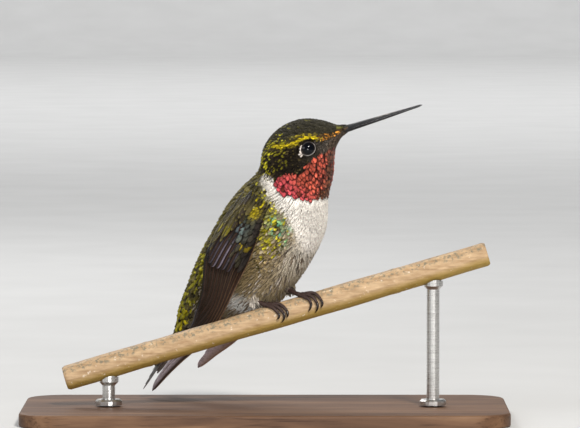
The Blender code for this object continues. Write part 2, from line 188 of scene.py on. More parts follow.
def body_spine():
    """The part's stations, and before them one over the tail's base for the coverts to follow."""
    steps = np.linalg.norm(np.diff(STATIONS[:, :2], axis=0), axis=1)
    spine = np.column_stack([np.r_[0.0, np.cumsum(steps)], STATIONS])
    over_tail = (COAT_START, -19.5, 9.7, 49, 0.9, 0.9, 3.3)
    return np.vstack([over_tail, spine])


SPINE = body_spine()
BODY_LENGTH = SPINE[-1, 0]


def body_frame(along, angle, above=0.0):
    """Points over the coat's surface in the bird's frame: angle 0 is the back, a quarter turn the left."""
    _, along, angle, above = flat(along, angle, above)
    inside = np.clip(along, COAT_START, BODY_LENGTH)
    f, u, tilt, back, belly, side = curve(SPINE, inside).T
    reach = np.where(np.cos(angle) >= 0.0, back, belly) + above
    tilt = np.radians(tilt)
    f, u = f + np.cos(tilt) * (along - inside), u + np.sin(tilt) * (along - inside)
    points = np.column_stack([f - np.sin(tilt) * reach * np.cos(angle), (side + above) * np.sin(angle),
                              u + np.cos(tilt) * reach * np.cos(angle)])
    return turn_head(points, smooth(along, HEAD_FROM, HEAD_FULL))


def on_body(along, angle, above=0.0):
    """World points over the coat's outer surface."""
    shape = np.broadcast_shapes(np.shape(along), np.shape(angle), np.shape(above))
    return pose(body_frame(along, angle, above)).reshape(*shape, 3)


def wing_plan(points):
    """Where points of the bird's frame fall in the folded wing's plan."""
    return turned(WRIST[0] - points[:, 0], points[:, 2] - WRIST[1], WING_PITCH)


def wing_spread(x, y):
    """How far the folded wing's middle surface is from the bird's plane of symmetry. It is tucked in at the
    bend and the front edge, wraps the back with its rear edge, and twists towards its tip."""
    front, rear = value(WING_LEAD, x), value(WING_TRAIL, x)
    tuck = 0.8 * smooth(x, 3.0, -1.5) + 0.55 * smooth(y - front, 1.6, -0.3) * smooth(x, 18.0, 10.0)
    wrap = 0.24 * np.maximum(y - 2.5, 0.0) ** 2 * smooth(x, 15.0, 10.0)
    twist = 0.55 * (y - (front + rear) / 2) * smooth(x, 20.0, 32.0)
    return value(WING_SPREAD, x) - 0.057 * np.maximum(y - 1.0, 0.0) ** 2 - tuck - wrap - twist


def on_wing(side, x, y, out=0.0):
    """World points of the folded wing's plan: x from wrist to tip, y to the back."""
    shape, x, y, out = flat(x, y, out)
    drop = value(LEFT_WING_DROP, x) if side > 0 else 0.0
    behind, over = turned(x, y + drop, -WING_PITCH)
    points = np.column_stack([WRIST[0] - behind, side * (wing_spread(x, y) + out), WRIST[1] + over])
    return pose(points).reshape(*shape, 3)


class WingCover:
    """Maps over the body of the folded wing: its outer face's height, how much room is under it, and
    the place in its plan."""

    ROWS, COLUMNS = 97, 131
    HALF_THICKNESS = 0.60
    OPEN, NO_WING = 9.0, -99.0      # the room where nothing is above, and y where no wing is

    def __init__(self):
        self.along = np.linspace(6.0, 38.0, self.ROWS)
        self.angle = np.radians(np.linspace(-130.0, 130.0, self.COLUMNS))
        along, angle = (grid.ravel() for grid in np.meshgrid(self.along, self.angle, indexing="ij"))
        height, x, y = (np.zeros(len(along)) for _ in range(3))
        found = np.zeros(len(along), bool)
        for above in np.linspace(0.0, 4.0, 41):
            points = body_frame(along, angle, above)
            px, py = wing_plan(points)
            reached = ~found & (np.abs(points[:, 1]) >= wing_spread(px, py) + self.HALF_THICKNESS)
            height[reached], x[reached], y[reached] = above, px[reached], py[reached]
            found |= reached
        inside = found & (x > -1.2) & (y > value(WING_LEAD, x)) & (x < 24.0)
        past = y - value(WING_TRAIL, x)
        height_seen = height * inside * smooth(past, 0.4, -1.3) * smooth(x, 12.5, 8.5)
        room = np.where(inside & (past < 0.3), np.maximum(height, 0.9), self.OPEN)
        self.height, self.room, self.x, self.y = (grid.reshape(self.ROWS, self.COLUMNS) for grid in (
            height_seen, room, x, np.where(inside, y, self.NO_WING)))

    def read(self, grid, along, angle, nearest=False):
        """A map's value at places on the body, clamped to its edges."""
        i = np.clip((along - self.along[0]) / (self.along[1] - self.along[0]), 0, self.ROWS - 1.001)
        j = np.clip((angle - self.angle[0]) / (self.angle[1] - self.angle[0]), 0, self.COLUMNS - 1.001)
        if nearest:
            return grid[np.round(i).astype(int), np.round(j).astype(int)]
        a, b = i.astype(int), j.astype(int)
        p, q = i - a, j - b
        return ((grid[a, b] * (1 - q) + grid[a, b + 1] * q) * (1 - p)
                + (grid[a + 1, b] * (1 - q) + grid[a + 1, b + 1] * q) * p)


def on_tail(x, y, out=0.0):
    """World points of the tail's plan: x from its root to the tip, y to the bird's left."""
    shape, x, y, out = flat(x, y, out)
    behind, over = turned(x, out + TAIL_LEAN * y - 0.1 * np.abs(y) - 0.02 * y**2, -TAIL_PITCH)
    return pose(np.column_stack([TAIL_ROOT[0] - behind, y, TAIL_ROOT[1] + over])).reshape(*shape, 3)


def on_perch(along, degrees, height):
    """World points beside the perch: angle 0 is its top, 90 its front, height is above its bark."""
    along, angle, out = np.broadcast_arrays(np.asarray(along, float), np.radians(degrees),
                                            PERCH_RADIUS + np.asarray(height))
    axis = np.array([cos(PERCH_SLOPE), 0.0, sin(PERCH_SLOPE)])
    top = np.array([-sin(PERCH_SLOPE), 0.0, cos(PERCH_SLOPE)])
    front = np.array([0.0, -1.0, 0.0])
    return (PERCH_CENTRE + along[..., None] * axis + (out * np.cos(angle))[..., None] * top
            + (out * np.sin(angle))[..., None] * front)


# ---------------------------------------------------------------- plumage colours, linear light

CROWN = (0.030, 0.027, 0.017)
CHEEK = (0.014, 0.010, 0.006)
UNDER_EYE = (0.045, 0.038, 0.030)
LORE = (0.075, 0.062, 0.050)
# painted shadow in the groove just in front of the eye
LORE_GROOVE_SHADOW = (0.006, 0.005, 0.004)
LORE_BROWN = (0.10, 0.055, 0.020)
NAPE = (0.030, 0.026, 0.009)
GOLD = (0.56, 0.43, 0.008)
GREEN_GOLD = (0.30, 0.27, 0.012)
RED = (0.50, 0.088, 0.052)
ROSE = (0.60, 0.078, 0.095)
THROAT_EDGE = (0.070, 0.038, 0.012)
THROAT_TOP = (0.20, 0.070, 0.038)
CHIN = (0.085, 0.060, 0.042)
WHITE = (0.85, 0.80, 0.73)
CREAM = (0.60, 0.545, 0.46)
BRONZE = (0.094, 0.077, 0.020)
FLANK = (0.26, 0.225, 0.070)
TAN = (0.23, 0.166, 0.072)
TURQUOISE = (0.15, 0.50, 0.33)
BELLY = (0.300, 0.230, 0.128)
VENT = (0.72, 0.71, 0.68)
UNDER_TAIL = (0.24, 0.20, 0.15)
DUSK = (0.022, 0.017, 0.012)

# lines on the plumage: rows of distance along the body and degrees off the back, or the other way round
BROW_LINE = ((40.0, 44), (41.6, 51), (42.6, 61), (44.4, 67.5), (46.3, 70.5), (47.3, 79), (48.9, 96),
             (50.5, 100), (52.7, 96))
BROW_TOP = ((42.0, 44), (44.4, 57), (46.3, 61), (48.3, 75), (50.1, 84), (51.7, 76), (52.7, 68))
LORE_TOP = ((47.6, 88), (49.0, 107), (50.5, 115), (51.5, 112), (52.7, 100))
GORGET_TOP = ((37.5, 90), (39.7, 94), (41.1, 102), (42.6, 112), (46.0, 116), (46.7, 123), (47.6, 136),
              (48.4, 157), (48.8, 180))
GORGET_FRONT = 48.8
GORGET_END = ((50, 37.1), (71, 38.0), (87, 38.4), (99, 37.7), (117, 38.1), (130, 38.9), (148, 39.9),
              (161, 40.8), (180, 41.0))
WHITE_END = ((50, 37.1), (69, 37.0), (84, 36.6), (104, 35.8), (125, 34.8), (144, 32.8), (160, 31.0),
             (180, 30.0))
# painted turquoise glints on the flank: centre, radii, strength
PAINTED_GLINTS = (((33.4, 114), (1.0, 7), 0.8), ((32.3, 121), (0.8, 8), 0.7), ((33.9, 131), (0.5, 4), 0.5),
          ((30.7, 134), (0.6, 4), 0.4))


def mix(a, b, share):
    """Colour a, with a share of colour b."""
    share = np.asarray(share)[..., None]
    return np.asarray(a) * (1.0 - share) + np.asarray(b) * share


def spot(x, y, centre, radii):
    """1 at a spot's centre, fading out beyond its radii."""
    return np.exp(-(((x - centre[0]) / radii[0]) ** 2 + ((y - centre[1]) / radii[1]) ** 2))


def in_gorget(along, degrees):
    """Whether places are on the red throat."""
    below = degrees > value(GORGET_TOP, along)
    return below & (along > value(GORGET_END, degrees)) & (along < GORGET_FRONT)


def in_brow(along, degrees):
    """1 on the bright line over the eye, weaker on the second line above it."""
    line = bell(degrees, value(BROW_LINE, along), 3.0) * smooth(along, 40.6, 42.4)
    second = 0.5 * bell(degrees, value(BROW_TOP, along), 2.4) * smooth(along, 43.4, 45.0)
    return np.maximum(line, second) * (1.0 - smooth(along, 48.0, 49.0))


def before_eye(along, degrees):
    """1 on the dotted patch between the eye and the bill."""
    under_top = smooth(degrees - value(BROW_TOP, along), -3, 3)
    return under_top * (1 - smooth(degrees - value(LORE_TOP, along), -4, 2)) * smooth(along, 47.6, 48.8)


def body_markings(along, degrees):
    """Bronze above, tan and green-gold on the flanks with painted turquoise glints, grey to white below."""
    flank = band(degrees, 66, 86, 118, 142) * smooth(along, 15, 24)
    under = smooth(degrees, 84, 118)
    belly = mix(BELLY, CREAM, smooth(along, 22, 31) * smooth(degrees, 132, 158))
    vent = band(along, 13.5, 15.5, 17.3, 19.3) * smooth(degrees, 114, 126)
    belly = mix(mix(belly, VENT, vent), UNDER_TAIL, 1.0 - smooth(along, 8, 13))
    colour = mix(np.broadcast_to(BRONZE, (*along.shape, 3)), belly, under)
    colour = mix(colour, mix(TAN, FLANK, smooth(along, 27, 31) * smooth(degrees, 128, 116)), flank)
    for centre, radii, strength in PAINTED_GLINTS:
        colour = mix(colour, TURQUOISE, strength * spot(along, degrees, centre, radii))
    return colour, 0.45 * (1.0 - under) * (1 - flank) + 0.30 * flank


def face_markings(along, degrees):
    """Dark crown, darker cheek, grey-brown before the eye, and a painted shadow in the groove just in front
    of it.
    """
    off_brow = degrees - value(BROW_LINE, along)
    face = mix(mix(NAPE, CROWN, smooth(along, 41.0, 44.0)), CHEEK, smooth(off_brow, -2, 8))
    face = mix(face, LORE, smooth(along, 46.8, 48.0) * smooth(off_brow, 0, 10))
    face = mix(face, UNDER_EYE, 0.8 * spot(along, degrees, (46.0, 109), (1.6, 8)))
    face = mix(face, CHIN, smooth(along, 48.2, 49.0) * smooth(degrees, 118, 140))
    # a painted shadow in the groove just in front of the eye
    return mix(face, LORE_GROOVE_SHADOW, spot(along, degrees, (48.3, 103), (0.35, 8)))


def throat_red(along, degrees):
    """Red in front, rose behind, dull down the middle and at the chin."""
    red = mix(ROSE, RED, smooth(along, 38.5, 42.5))
    dull = smooth(degrees, 154, 164) * (1 - 0.5 * spot(along, degrees, (44.5, 165), (0.9, 8)))
    return mix(mix(red, THROAT_EDGE, 0.85 * dull), THROAT_TOP, 0.8 * smooth(along, 46.6, 47.8))


def markings(along, degrees):
    """The plumage's colour and its metallic gloss at a distance along the body and degrees off the back."""
    colour, gloss = body_markings(along, degrees)
    white = smooth(along - value(WHITE_END, degrees), -0.9, 0.9) * smooth(degrees, 52, 62)
    white = white * (1.0 - smooth(along - value(GORGET_END, degrees), -0.1, 0.5))
    for share, strength, paint, shine in (
            (smooth(along, 36.9, 38.2), 1.0, face_markings(along, degrees), 0.2),
            (white, 1.0, WHITE, 0.0),
            (in_brow(along, degrees), 0.92, GOLD, 0.25),
            (before_eye(along, degrees), 0.8, LORE_BROWN, None),
            (1.0 * in_gorget(along, degrees), 1.0, throat_red(along, degrees), 0.30)):
        colour = mix(colour, paint, strength * share)
        if shine is not None:
            gloss = gloss * (1 - share) + shine * share
    return colour, gloss


# ---------------------------------------------------------------- meshes

def link(name, data):
    """A new object in the scene's own collection."""
    made = bpy.data.objects.new(name, data)
    bpy.context.scene.collection.objects.link(made)
    return made


def add_attribute(mesh, name, rows):
    """A point attribute: a colour for rows of three, else one number."""
    rows = np.asarray(rows, np.float32)
    if rows.ndim == 2:
        rows = np.column_stack([rows, np.ones(len(rows), np.float32)])
        mesh.attributes.new(name, "FLOAT_COLOR", "POINT").data.foreach_set("color", rows.ravel())
    else:
        mesh.attributes.new(name, "FLOAT", "POINT").data.foreach_set("value", rows)


def new_piece(name, points, faces, material, slot, replaces=(), tints=None, maps=None):
    """A piece from world points in millimetres and a list of arrays of faces, each of equal length."""
    groups = [np.asarray(group) for group in faces if len(group)]
    loops = np.concatenate([group.ravel() for group in groups])
    totals = np.concatenate([np.full(len(group), group.shape[1]) for group in groups])
    mesh = bpy.data.meshes.new(name)
    mesh.vertices.add(len(points))
    mesh.vertices.foreach_set("co", (np.asarray(points) * MM).astype(np.float32).ravel())
    mesh.loops.add(len(loops))
    mesh.loops.foreach_set("vertex_index", loops.astype(np.int32))
    mesh.polygons.add(len(totals))
    mesh.polygons.foreach_set("loop_start", (np.cumsum(totals) - totals).astype(np.int32))
    mesh.polygons.foreach_set("loop_total", totals.astype(np.int32))
    mesh.update(calc_edges=True)
    for key, rows in (tints or {}).items():
        add_attribute(mesh, key, rows)
    for key, rows in (maps or {}).items():
        mesh.uv_layers.new(name=key).data.foreach_set("uv", np.asarray(rows, np.float32)[loops].ravel())
    mesh.validate()
    mesh.shade_smooth()
    mesh.materials.append(material)
    made = link(name, mesh)
    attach(made, "root")
    if replaces:
        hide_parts(*replaces)
    return made


def grid_faces(rows, columns, closed=False):
    """Quads between rows of points, closed round each row if asked."""
    i, j = np.meshgrid(np.arange(rows - 1), np.arange(columns if closed else columns - 1), indexing="ij")
    k = (j + 1) % columns
    quads = np.stack([i * columns + j, i * columns + k, (i + 1) * columns + k, (i + 1) * columns + j], -1)
    return quads.reshape(-1, 4)


def end_fans(rows, around, flip=False):
    """Triangles that close a lofted shape's first and last ring, each from the ring's own first point."""
    k, last = np.arange(1, around - 1), (rows - 1) * around
    first, second = (k + 1, k) if flip else (k, k + 1)
    root = np.zeros_like(k)
    return np.vstack([np.column_stack([root, first, second]), last + np.column_stack([root, second, first])])


def end_cones(rows, around, flip=False):
    """Triangles from a lofted shape's first and last ring to the two points that follow its rings."""
    ring, last = np.arange(around), (rows - 1) * around
    here, there = (ring, np.roll(ring, -1)) if flip else (np.roll(ring, -1), ring)
    start = np.column_stack([here, there, np.full(around, rows * around)])
    end = np.column_stack([there + last, here + last, np.full(around, rows * around + 1)])
    return np.vstack([start, end])


def tube(path, radii, sides=16, steps=6):
    """Points, quads and triangles of a round tube along a smooth path, its ends closed by a point each."""
    path = np.asarray(path, float)
    lengths = np.r_[0.0, np.cumsum(np.linalg.norm(np.diff(path, axis=0), axis=1))]
    rows = curve(np.column_stack([lengths, path, radii]), np.linspace(0, lengths[-1], steps * len(path)))
    rings, side = [], None
    turn = np.linspace(0.0, 2 * pi, sides, endpoint=False)
    for i, row in enumerate(rows):
        ahead = Vector(rows[min(i + 1, len(rows) - 1), :3] - rows[max(i - 1, 0), :3]).normalized()
        side = side or ahead.orthogonal()
        side = (side - ahead * side.dot(ahead)).normalized()
        ring = np.outer(np.cos(turn), side) + np.outer(np.sin(turn), ahead.cross(side))
        rings.append(row[:3] + row[3] * ring)
    points = np.vstack([*rings, rows[:1, :3], rows[-1:, :3]])
    return points, grid_faces(len(rings), sides, closed=True), end_cones(len(rings), sides)


def joined(parts):
    """Several (points, quads, triangles) parts as one."""
    points, quads, triangles, base = [], [], [], 0
    for part_points, part_quads, part_triangles in parts:
        points.append(part_points)
        quads.append(part_quads + base)
        triangles.append(part_triangles + base)
        base += len(part_points)
    return np.vstack(points), [np.vstack(quads), np.vstack(triangles)]


# ---------------------------------------------------------------- materials

BLACK, LIT = (0, 0, 0), (1, 1, 1)


class Nodes:
    """A Principled material and short ways to wire nodes into it."""

    def __init__(self, name, **values):
        self.material = bpy.data.materials.new(name)
        self.material.use_nodes = True
        self.tree = self.material.node_tree
        self.shader = self.tree.nodes["Principled BSDF"]
        self.wire(**values)

    def wire(self, **sources):
        """Set or link the shader's sockets, named with _ for a space."""
        for key, source in sources.items():
            self.put(self.shader.inputs[key.replace("_", " ")], source)
        return self.material

    def put(self, socket, source):
        if isinstance(source, bpy.types.NodeSocket):
            self.tree.links.new(source, socket)
        else:
            socket.default_value = source

    def add(self, kind, inputs=None, **settings):
        node = self.tree.nodes.new(f"ShaderNode{kind}")
        for key, setting in settings.items():
            setattr(node, key, setting)
        for key, source in (inputs or {}).items():
            self.put(node.inputs[key], source)
        return node

    def attribute(self, name, output="Fac"):
        return self.add("Attribute", attribute_name=name).outputs[output]

    def place(self, scale=(1.0, 1.0, 1.0), turn=(0.0, 0.0, 0.0)):
        """Object coordinates, stretched and turned."""
        source = self.add("TexCoord").outputs["Object"]
        return self.add("Mapping", {"Vector": source, "Scale": scale, "Rotation": turn}).outputs["Vector"]

    def noise(self, scale, detail=3.0, roughness=0.55, vector=None, distortion=0.0):
        inputs = {"Scale": scale, "Detail": detail, "Roughness": roughness, "Distortion": distortion}
        return self.add("TexNoise", {**inputs, "Vector": vector or self.place()}).outputs["Fac"]

    def math(self, operation, a, b=0.5):
        return self.add("Math", {0: a, 1: b}, operation=operation).outputs[0]

    def plus(self, a, b):
        return self.math("ADD", a, b)

    def times(self, a, b):
        return self.math("MULTIPLY", a, b)

    def ramp(self, fac, *stops):
        """A colour by steps of (place, colour)."""
        node = self.add("ValToRGB", {"Fac": fac})
        while len(node.color_ramp.elements) < len(stops):
            node.color_ramp.elements.new(0.5)
        for element, (place, colour) in zip(node.color_ramp.elements, stops):
            element.position = place
            element.color = (*colour, 1.0)
        return node.outputs["Color"]

    def mask(self, fac, off, full):
        """Black up to off, white from full."""
        return self.ramp(fac, (off, BLACK), (full, LIT))

    def blend(self, a, b, fac, mode="MIX"):
        node = self.add("Mix", data_type="RGBA", blend_type=mode)
        for socket, source in zip((node.inputs["Factor"], node.inputs["A"], node.inputs["B"]), (fac, a, b)):
            self.put(socket, (*source, 1.0) if isinstance(source, tuple) else source)
        return node.outputs["Result"]

    def tinted(self, a, b):
        """The product of two colours."""
        return self.blend(a, b, 1.0, "MULTIPLY")

    def bump(self, height, distance, strength):
        node = self.add("Bump", {"Height": height, "Distance": distance, "Strength": strength})
        self.wire(Normal=node.outputs["Normal"])


def barbs(nodes, count):
    """Height of fine barbs that sweep from a vane's shaft to its edge, from its own map."""
    uv = nodes.add("UVMap", uv_map="Vane").outputs["UV"]
    parts = nodes.add("SeparateXYZ", {"Vector": uv})
    off_shaft = nodes.math("ABSOLUTE", nodes.math("SUBTRACT", parts.outputs["X"], 0.5))
    sweep = nodes.math("SUBTRACT", parts.outputs["Y"], nodes.times(off_shaft, 0.9))
    return nodes.math("SINE", nodes.times(sweep, count))


def feather_material(name, roughness, specular, count, sheen=0.0):
    """Vane colour from the feather's own tint, with fine barbs and uneven wear."""
    nodes = Nodes(name, Roughness=roughness, Sheen_Weight=sheen, Sheen_Roughness=0.5, IOR=1.5,
                  Specular_IOR_Level=specular)
    wave = barbs(nodes, count)
    shade = nodes.plus(nodes.times(wave, 0.10), nodes.plus(nodes.noise(2600.0, 2.0), 0.5))
    wear = nodes.ramp(shade, (0.72, (0.62, 0.62, 0.62)), (1.0, (1.25, 1.25, 1.25)))
    nodes.bump(wave, 0.00003, 0.6)
    return nodes.wire(Base_Color=nodes.tinted(nodes.attribute("Tint", "Color"), wear),
                      Metallic=nodes.attribute("Gloss"))


def skin_material():
    """Bare skin in small plates, from its own tint."""
    nodes = Nodes("Skin", Roughness=0.6, Specular_IOR_Level=0.3)
    grain = nodes.ramp(nodes.noise(1800.0, 4.0), (0.3, (0.6, 0.58, 0.56)), (0.7, (1.2, 1.2, 1.2)))
    plates = nodes.add("TexVoronoi", {"Vector": nodes.place(), "Scale": 2300.0}, feature="DISTANCE_TO_EDGE")
    nodes.bump(nodes.math("MINIMUM", plates.outputs["Distance"], 0.12), 0.0001, 0.7)
    return nodes.wire(Base_Color=nodes.tinted(nodes.attribute("Tint", "Color"), grain))


def horn_material(name, dark, pale, roughness, scale):
    """Smooth dark horn with faint streaks and pale dust."""
    nodes = Nodes(name, Specular_IOR_Level=0.3, Coat_Weight=0.06, Coat_Roughness=0.25)
    streak = nodes.noise(scale, 4.0, vector=nodes.place((1.0, 1.0, 3.0)))
    grains = nodes.noise(scale * 3.5, 3.0)
    dust = nodes.times(nodes.attribute("Dust"), nodes.mask(grains, 0.45, 0.58))
    colour = nodes.blend(nodes.ramp(streak, (0.35, dark), (0.75, pale)), (0.42, 0.40, 0.36),
                         nodes.times(dust, 0.7))
    nodes.bump(streak, 0.00006, 0.5)
    return nodes.wire(Base_Color=colour, Roughness=nodes.plus(nodes.times(grains, 0.3), roughness - 0.12))


def eye_material():
    """A wet dark iris round a black pupil whose faint blue is a painted sheen."""
    nodes = Nodes("Eye", Roughness=0.03, IOR=1.38, Specular_IOR_Level=0.32)
    iris = nodes.ramp(nodes.noise(2500.0, 4.0), (0.3, (0.004, 0.0022, 0.0015)), (0.7, (0.018, 0.009, 0.005)))
    outside = nodes.mask(nodes.attribute("Ring"), 0.80, 0.92)
    # the pupil's faint blue is a painted sheen
    return nodes.wire(Base_Color=nodes.blend((0.0012, 0.0016, 0.0030), iris, outside))


def cane_material():
    """Smooth tan cane: fine mottling, grey-green flecks on top, and a yellow-olive underside that is a
    painted reflection of green surroundings.
    """
    nodes = Nodes("Cane", Roughness=0.62, Specular_IOR_Level=0.35)
    turn = (0.0, PERCH_SLOPE, 0.0)
    grain = nodes.noise(1.0, 5.0, 0.6, nodes.place((380.0, 1300.0, 1300.0), turn))
    fibre = nodes.noise(1.0, 3.0, 0.6, nodes.place((90.0, 2600.0, 2600.0), turn))
    blotch, height = nodes.noise(170.0, 5.0, 0.6), nodes.attribute("Turn")
    mottling = nodes.ramp(grain, (0.28, (0.31, 0.192, 0.100)), (0.5, (0.42, 0.285, 0.160)),
                          (0.72, (0.53, 0.375, 0.225)))
    colour = nodes.tinted(mottling, nodes.ramp(fibre, (0.3, (0.80, 0.78, 0.74)), (0.7, (1.1, 1.1, 1.1))))
    # painted reflection: the underside is tinted yellow-olive, as green light from below would tint it
    below = nodes.ramp(nodes.plus(height, nodes.times(blotch, 0.15)), (0.24, LIT), (0.50, BLACK))
    colour = nodes.blend(colour, (0.36, 0.235, 0.028), nodes.times(below, 0.75))
    upper = nodes.mask(nodes.plus(height, nodes.times(blotch, 0.5)), 0.88, 1.0)
    lichen = nodes.noise(1700.0, 6.0, 0.65)
    grey = nodes.times(upper, nodes.mask(lichen, 0.49, 0.60))
    colour = nodes.blend(colour, (0.13, 0.13, 0.095), nodes.times(grey, 0.8))
    specks = nodes.mask(nodes.noise(1300.0, 3.0), 0.66, 0.71)
    nodes.bump(nodes.plus(grain, nodes.times(lichen, 0.5)), 0.00010, 0.6)
    return nodes.wire(Base_Color=nodes.blend(colour, (0.78, 0.70, 0.58), nodes.times(specks, 0.5)))


def wood_material():
    """Walnut with dark pores, its grain along the board."""
    nodes = Nodes("Walnut", Roughness=0.55, Specular_IOR_Level=0.25)
    rings = nodes.noise(1.0, 6.0, 0.6, nodes.place((26.0, 260.0, 260.0)), 0.6)
    fine = nodes.noise(1.0, 4.0, 0.6, nodes.place((120.0, 2600.0, 2600.0)))
    colour = nodes.ramp(rings, (0.25, (0.055, 0.026, 0.014)), (0.5, (0.115, 0.058, 0.030)),
                        (0.72, (0.20, 0.110, 0.058)))
    pores = nodes.ramp(fine, (0.30, (0.55, 0.5, 0.45)), (0.48, (1.05, 1.05, 1.05)))
    nodes.bump(fine, 0.00005, 0.5)
    return nodes.wire(Base_Color=nodes.tinted(colour, pores))


def steel_material():
    """Satin steel with fine lines round the rods."""
    nodes = Nodes("Satin steel", Metallic=1.0)
    lines = nodes.noise(1.0, 3.0, 0.6, nodes.place((400.0, 400.0, 9000.0)))
    nodes.bump(lines, 0.00001, 0.4)
    return nodes.wire(Base_Color=nodes.ramp(lines, (0.3, (0.50, 0.49, 0.47)), (0.7, (0.68, 0.67, 0.65))),
                      Roughness=nodes.plus(nodes.times(lines, 0.18), 0.20))


def floor_material():
    nodes = Nodes("Floor", Roughness=0.9, Specular_IOR_Level=0.1)
    return nodes.wire(Base_Color=nodes.ramp(nodes.noise(30.0, 2.0), (0.3, (0.57, 0.57, 0.565)),
                                            (0.7, (0.60, 0.60, 0.595))))


# ---------------------------------------------------------------- feathers

class Vane:
    """The outline and grid of one kind of feather: x runs from root to tip, y and c across it."""

    def __init__(self, rows, columns, tip, notch, sweep, base=0.55, fullest=0.55):
        self.along = np.linspace(0.0, 1.0, rows + 1) ** 0.9
        front = base + (1.0 - base) * smooth(self.along, 0.0, fullest)
        end = np.clip((self.along - fullest) / (1.0 - fullest), 0, 1)
        outline = front * np.maximum(np.sqrt(np.clip(1.0 - end**tip, 0, 1)), 0.10)
        s, c = np.meshgrid(self.along, np.linspace(-1.0, 1.0, columns), indexing="ij")
        teeth = np.where(np.arange(rows + 1) % 2 == 1, 1.0 - notch, 1.0)
        teeth[[0, -1]] = 1.0
        shape = outline[:, None] * np.where(np.abs(c) > 0.99, teeth[:, None], 1.0)
        self.c, self.x, self.y = c.ravel(), s.ravel(), (c * shape).ravel() * 0.5
        self.swept = (np.abs(c) * shape).ravel() * sweep
        i, across = np.arange(rows) * columns, np.arange(columns)
        under = np.column_stack([i, i + columns - 1, i + 2 * columns - 1, i + columns])
        self.faces = (grid_faces(rows + 1, columns)[:, ::-1], under, across[None, :],
                      (across + rows * columns)[None, ::-1])


ROUND = Vane(9, 5, tip=2.2, notch=0.08, sweep=0.25)
CONTOUR = Vane(10, 5, tip=1.9, notch=0.22, sweep=0.35)
SOFT = Vane(9, 3, tip=1.3, notch=0.40, sweep=0.6, fullest=0.35)
FLIGHT = Vane(44, 9, tip=5.0, notch=0.02, sweep=0.08, base=0.70, fullest=0.70)


@dataclass
class Style:
    """How the feathers of one region lie, and how they are tinted."""
    scatter: float = 0.09               # spread of their directions, radians
    lift: float = 0.12                  # height of the tips over the coat
    rise: float = 0.8                   # how late along a feather it rises
    sink: float = 0.75                  # depth of the roots, as a share of the coat's
    camber: float = 0.10                # droop of the edges, as a share of the width
    curl: float = 0.0                   # sideways bend of the tips
    above: float = 0.0                  # height of the whole feather
    uneven: float = 0.16                # spread of brightness between feathers
    base: float = 0.35                  # brightness of the root
    bright_from: tuple = (0.25, 0.6)    # where along a feather its full colour begins
    rim: float = 0.0                    # strength of the rim's colour
    rim_from: tuple = (0.62, 0.95)      # how far across a feather the rim begins
    rim_colour: tuple = DUSK
    flecks: tuple = ()                  # chances and colours of odd feathers


PATCH = 0.003       # side of one feather's patch of the skin's map


def assemble(name, vane, points, tints, gloss, centres, patch, material, slot, replaces=()):
    """One piece from every feather's points, its tints and its patch of the skin's map."""
    count, size = points.shape[:2]
    base = np.arange(count)[:, None, None] * size
    faces = [(np.asarray(group)[None] + base).reshape(-1, group.shape[1]) for group in vane.faces]
    own = np.column_stack([vane.y + 0.5, vane.x])
    bake = centres[:, None, :] + np.asarray(patch) * (own - 0.5)
    made = new_piece(name, points.reshape(-1, 3), faces, material, slot, replaces,
                     {"Tint": tints.reshape(-1, 3), "Gloss": gloss.ravel()},
                     {"OFBake": bake.reshape(-1, 2), "Vane": np.tile(own, (count, 1))})
    upper_side = np.arange(len(made.data.polygons)) < len(faces[0])
    made.data.polygons.foreach_set("use_smooth", upper_side)
    made.data.update()


def skin_place(along, angle):
    """Where a point of the body's skin lies on its unwrapped map."""
    turn = (angle / (2 * pi) + 0.5) % 1.0
    share = (along - COAT_START) / (BODY_LENGTH - COAT_START)
    return np.column_stack([0.02 + 0.96 * turn, 0.02 + 0.78 * share])


def wing_place(side, x, y):
    """Where a point of the arm's skin lies on its unwrapped map."""
    return np.column_stack([(0.03 if side < 0 else 0.53) + 0.012 * (x + 3.0), 0.83 + 0.011 * (y + 5.0)])


def coat_depth(along):
    """How far the skin lies under the coat's outer surface."""
    return value(((-6, 0.25), (2, 0.5), (10, 0.9), (22, 1.1), (34, 1.0), (40, 0.7), (46, 0.55), (51, 0.25),
                  (52.7, 0.15)), along)


def tips(length):
    """How far behind its root the part of a feather that shows lies."""
    return 0.66 * length


def scatter(step, gap, start, end, length, keep, mantle=False):
    """Roots in staggered rows round the body, where keep wants their tips and the wing doesn't hide them.
    The mantle's feathers also lie over the wing's rear part."""
    rows, angle = [], np.linspace(-pi, pi, 721)
    for number, along in enumerate(np.arange(start, end, step)):
        ring = on_body(np.full(len(angle), along), angle)
        arc = np.r_[0.0, np.cumsum(np.linalg.norm(np.diff(ring, axis=0), axis=1))]
        count = max(4, int(arc[-1] / gap))
        stops = (np.arange(count) + 0.5 * (number % 2) + RNG.normal(0, 0.16, count)) * arc[-1] / count
        turns = np.interp(stops % arc[-1], arc, angle)
        rows.append(np.column_stack([along + RNG.normal(0, 0.16 * step, count), turns]))
    places = np.vstack(rows)
    places = places[places[:, 0] < BODY_LENGTH - 0.1]
    kept = keep(places[:, 0] - tips(length), np.degrees(np.abs(places[:, 1])))
    x, y = (COVER.read(grid, *places.T, nearest=True) for grid in (COVER.x, COVER.y))
    hidden = (y > value(WING_LEAD, x) + 1.1) & (y < value(WING_TRAIL, x) - 0.6) & (x > 0.9)
    if mantle:
        hidden = hidden & ((y < 2.2 + 0.26 * np.maximum(x - 1.0, 0.0)) | (x > 9.0))
    return places[kept & ~hidden]


BODY_RADIUS_AT_EYE = 5.3


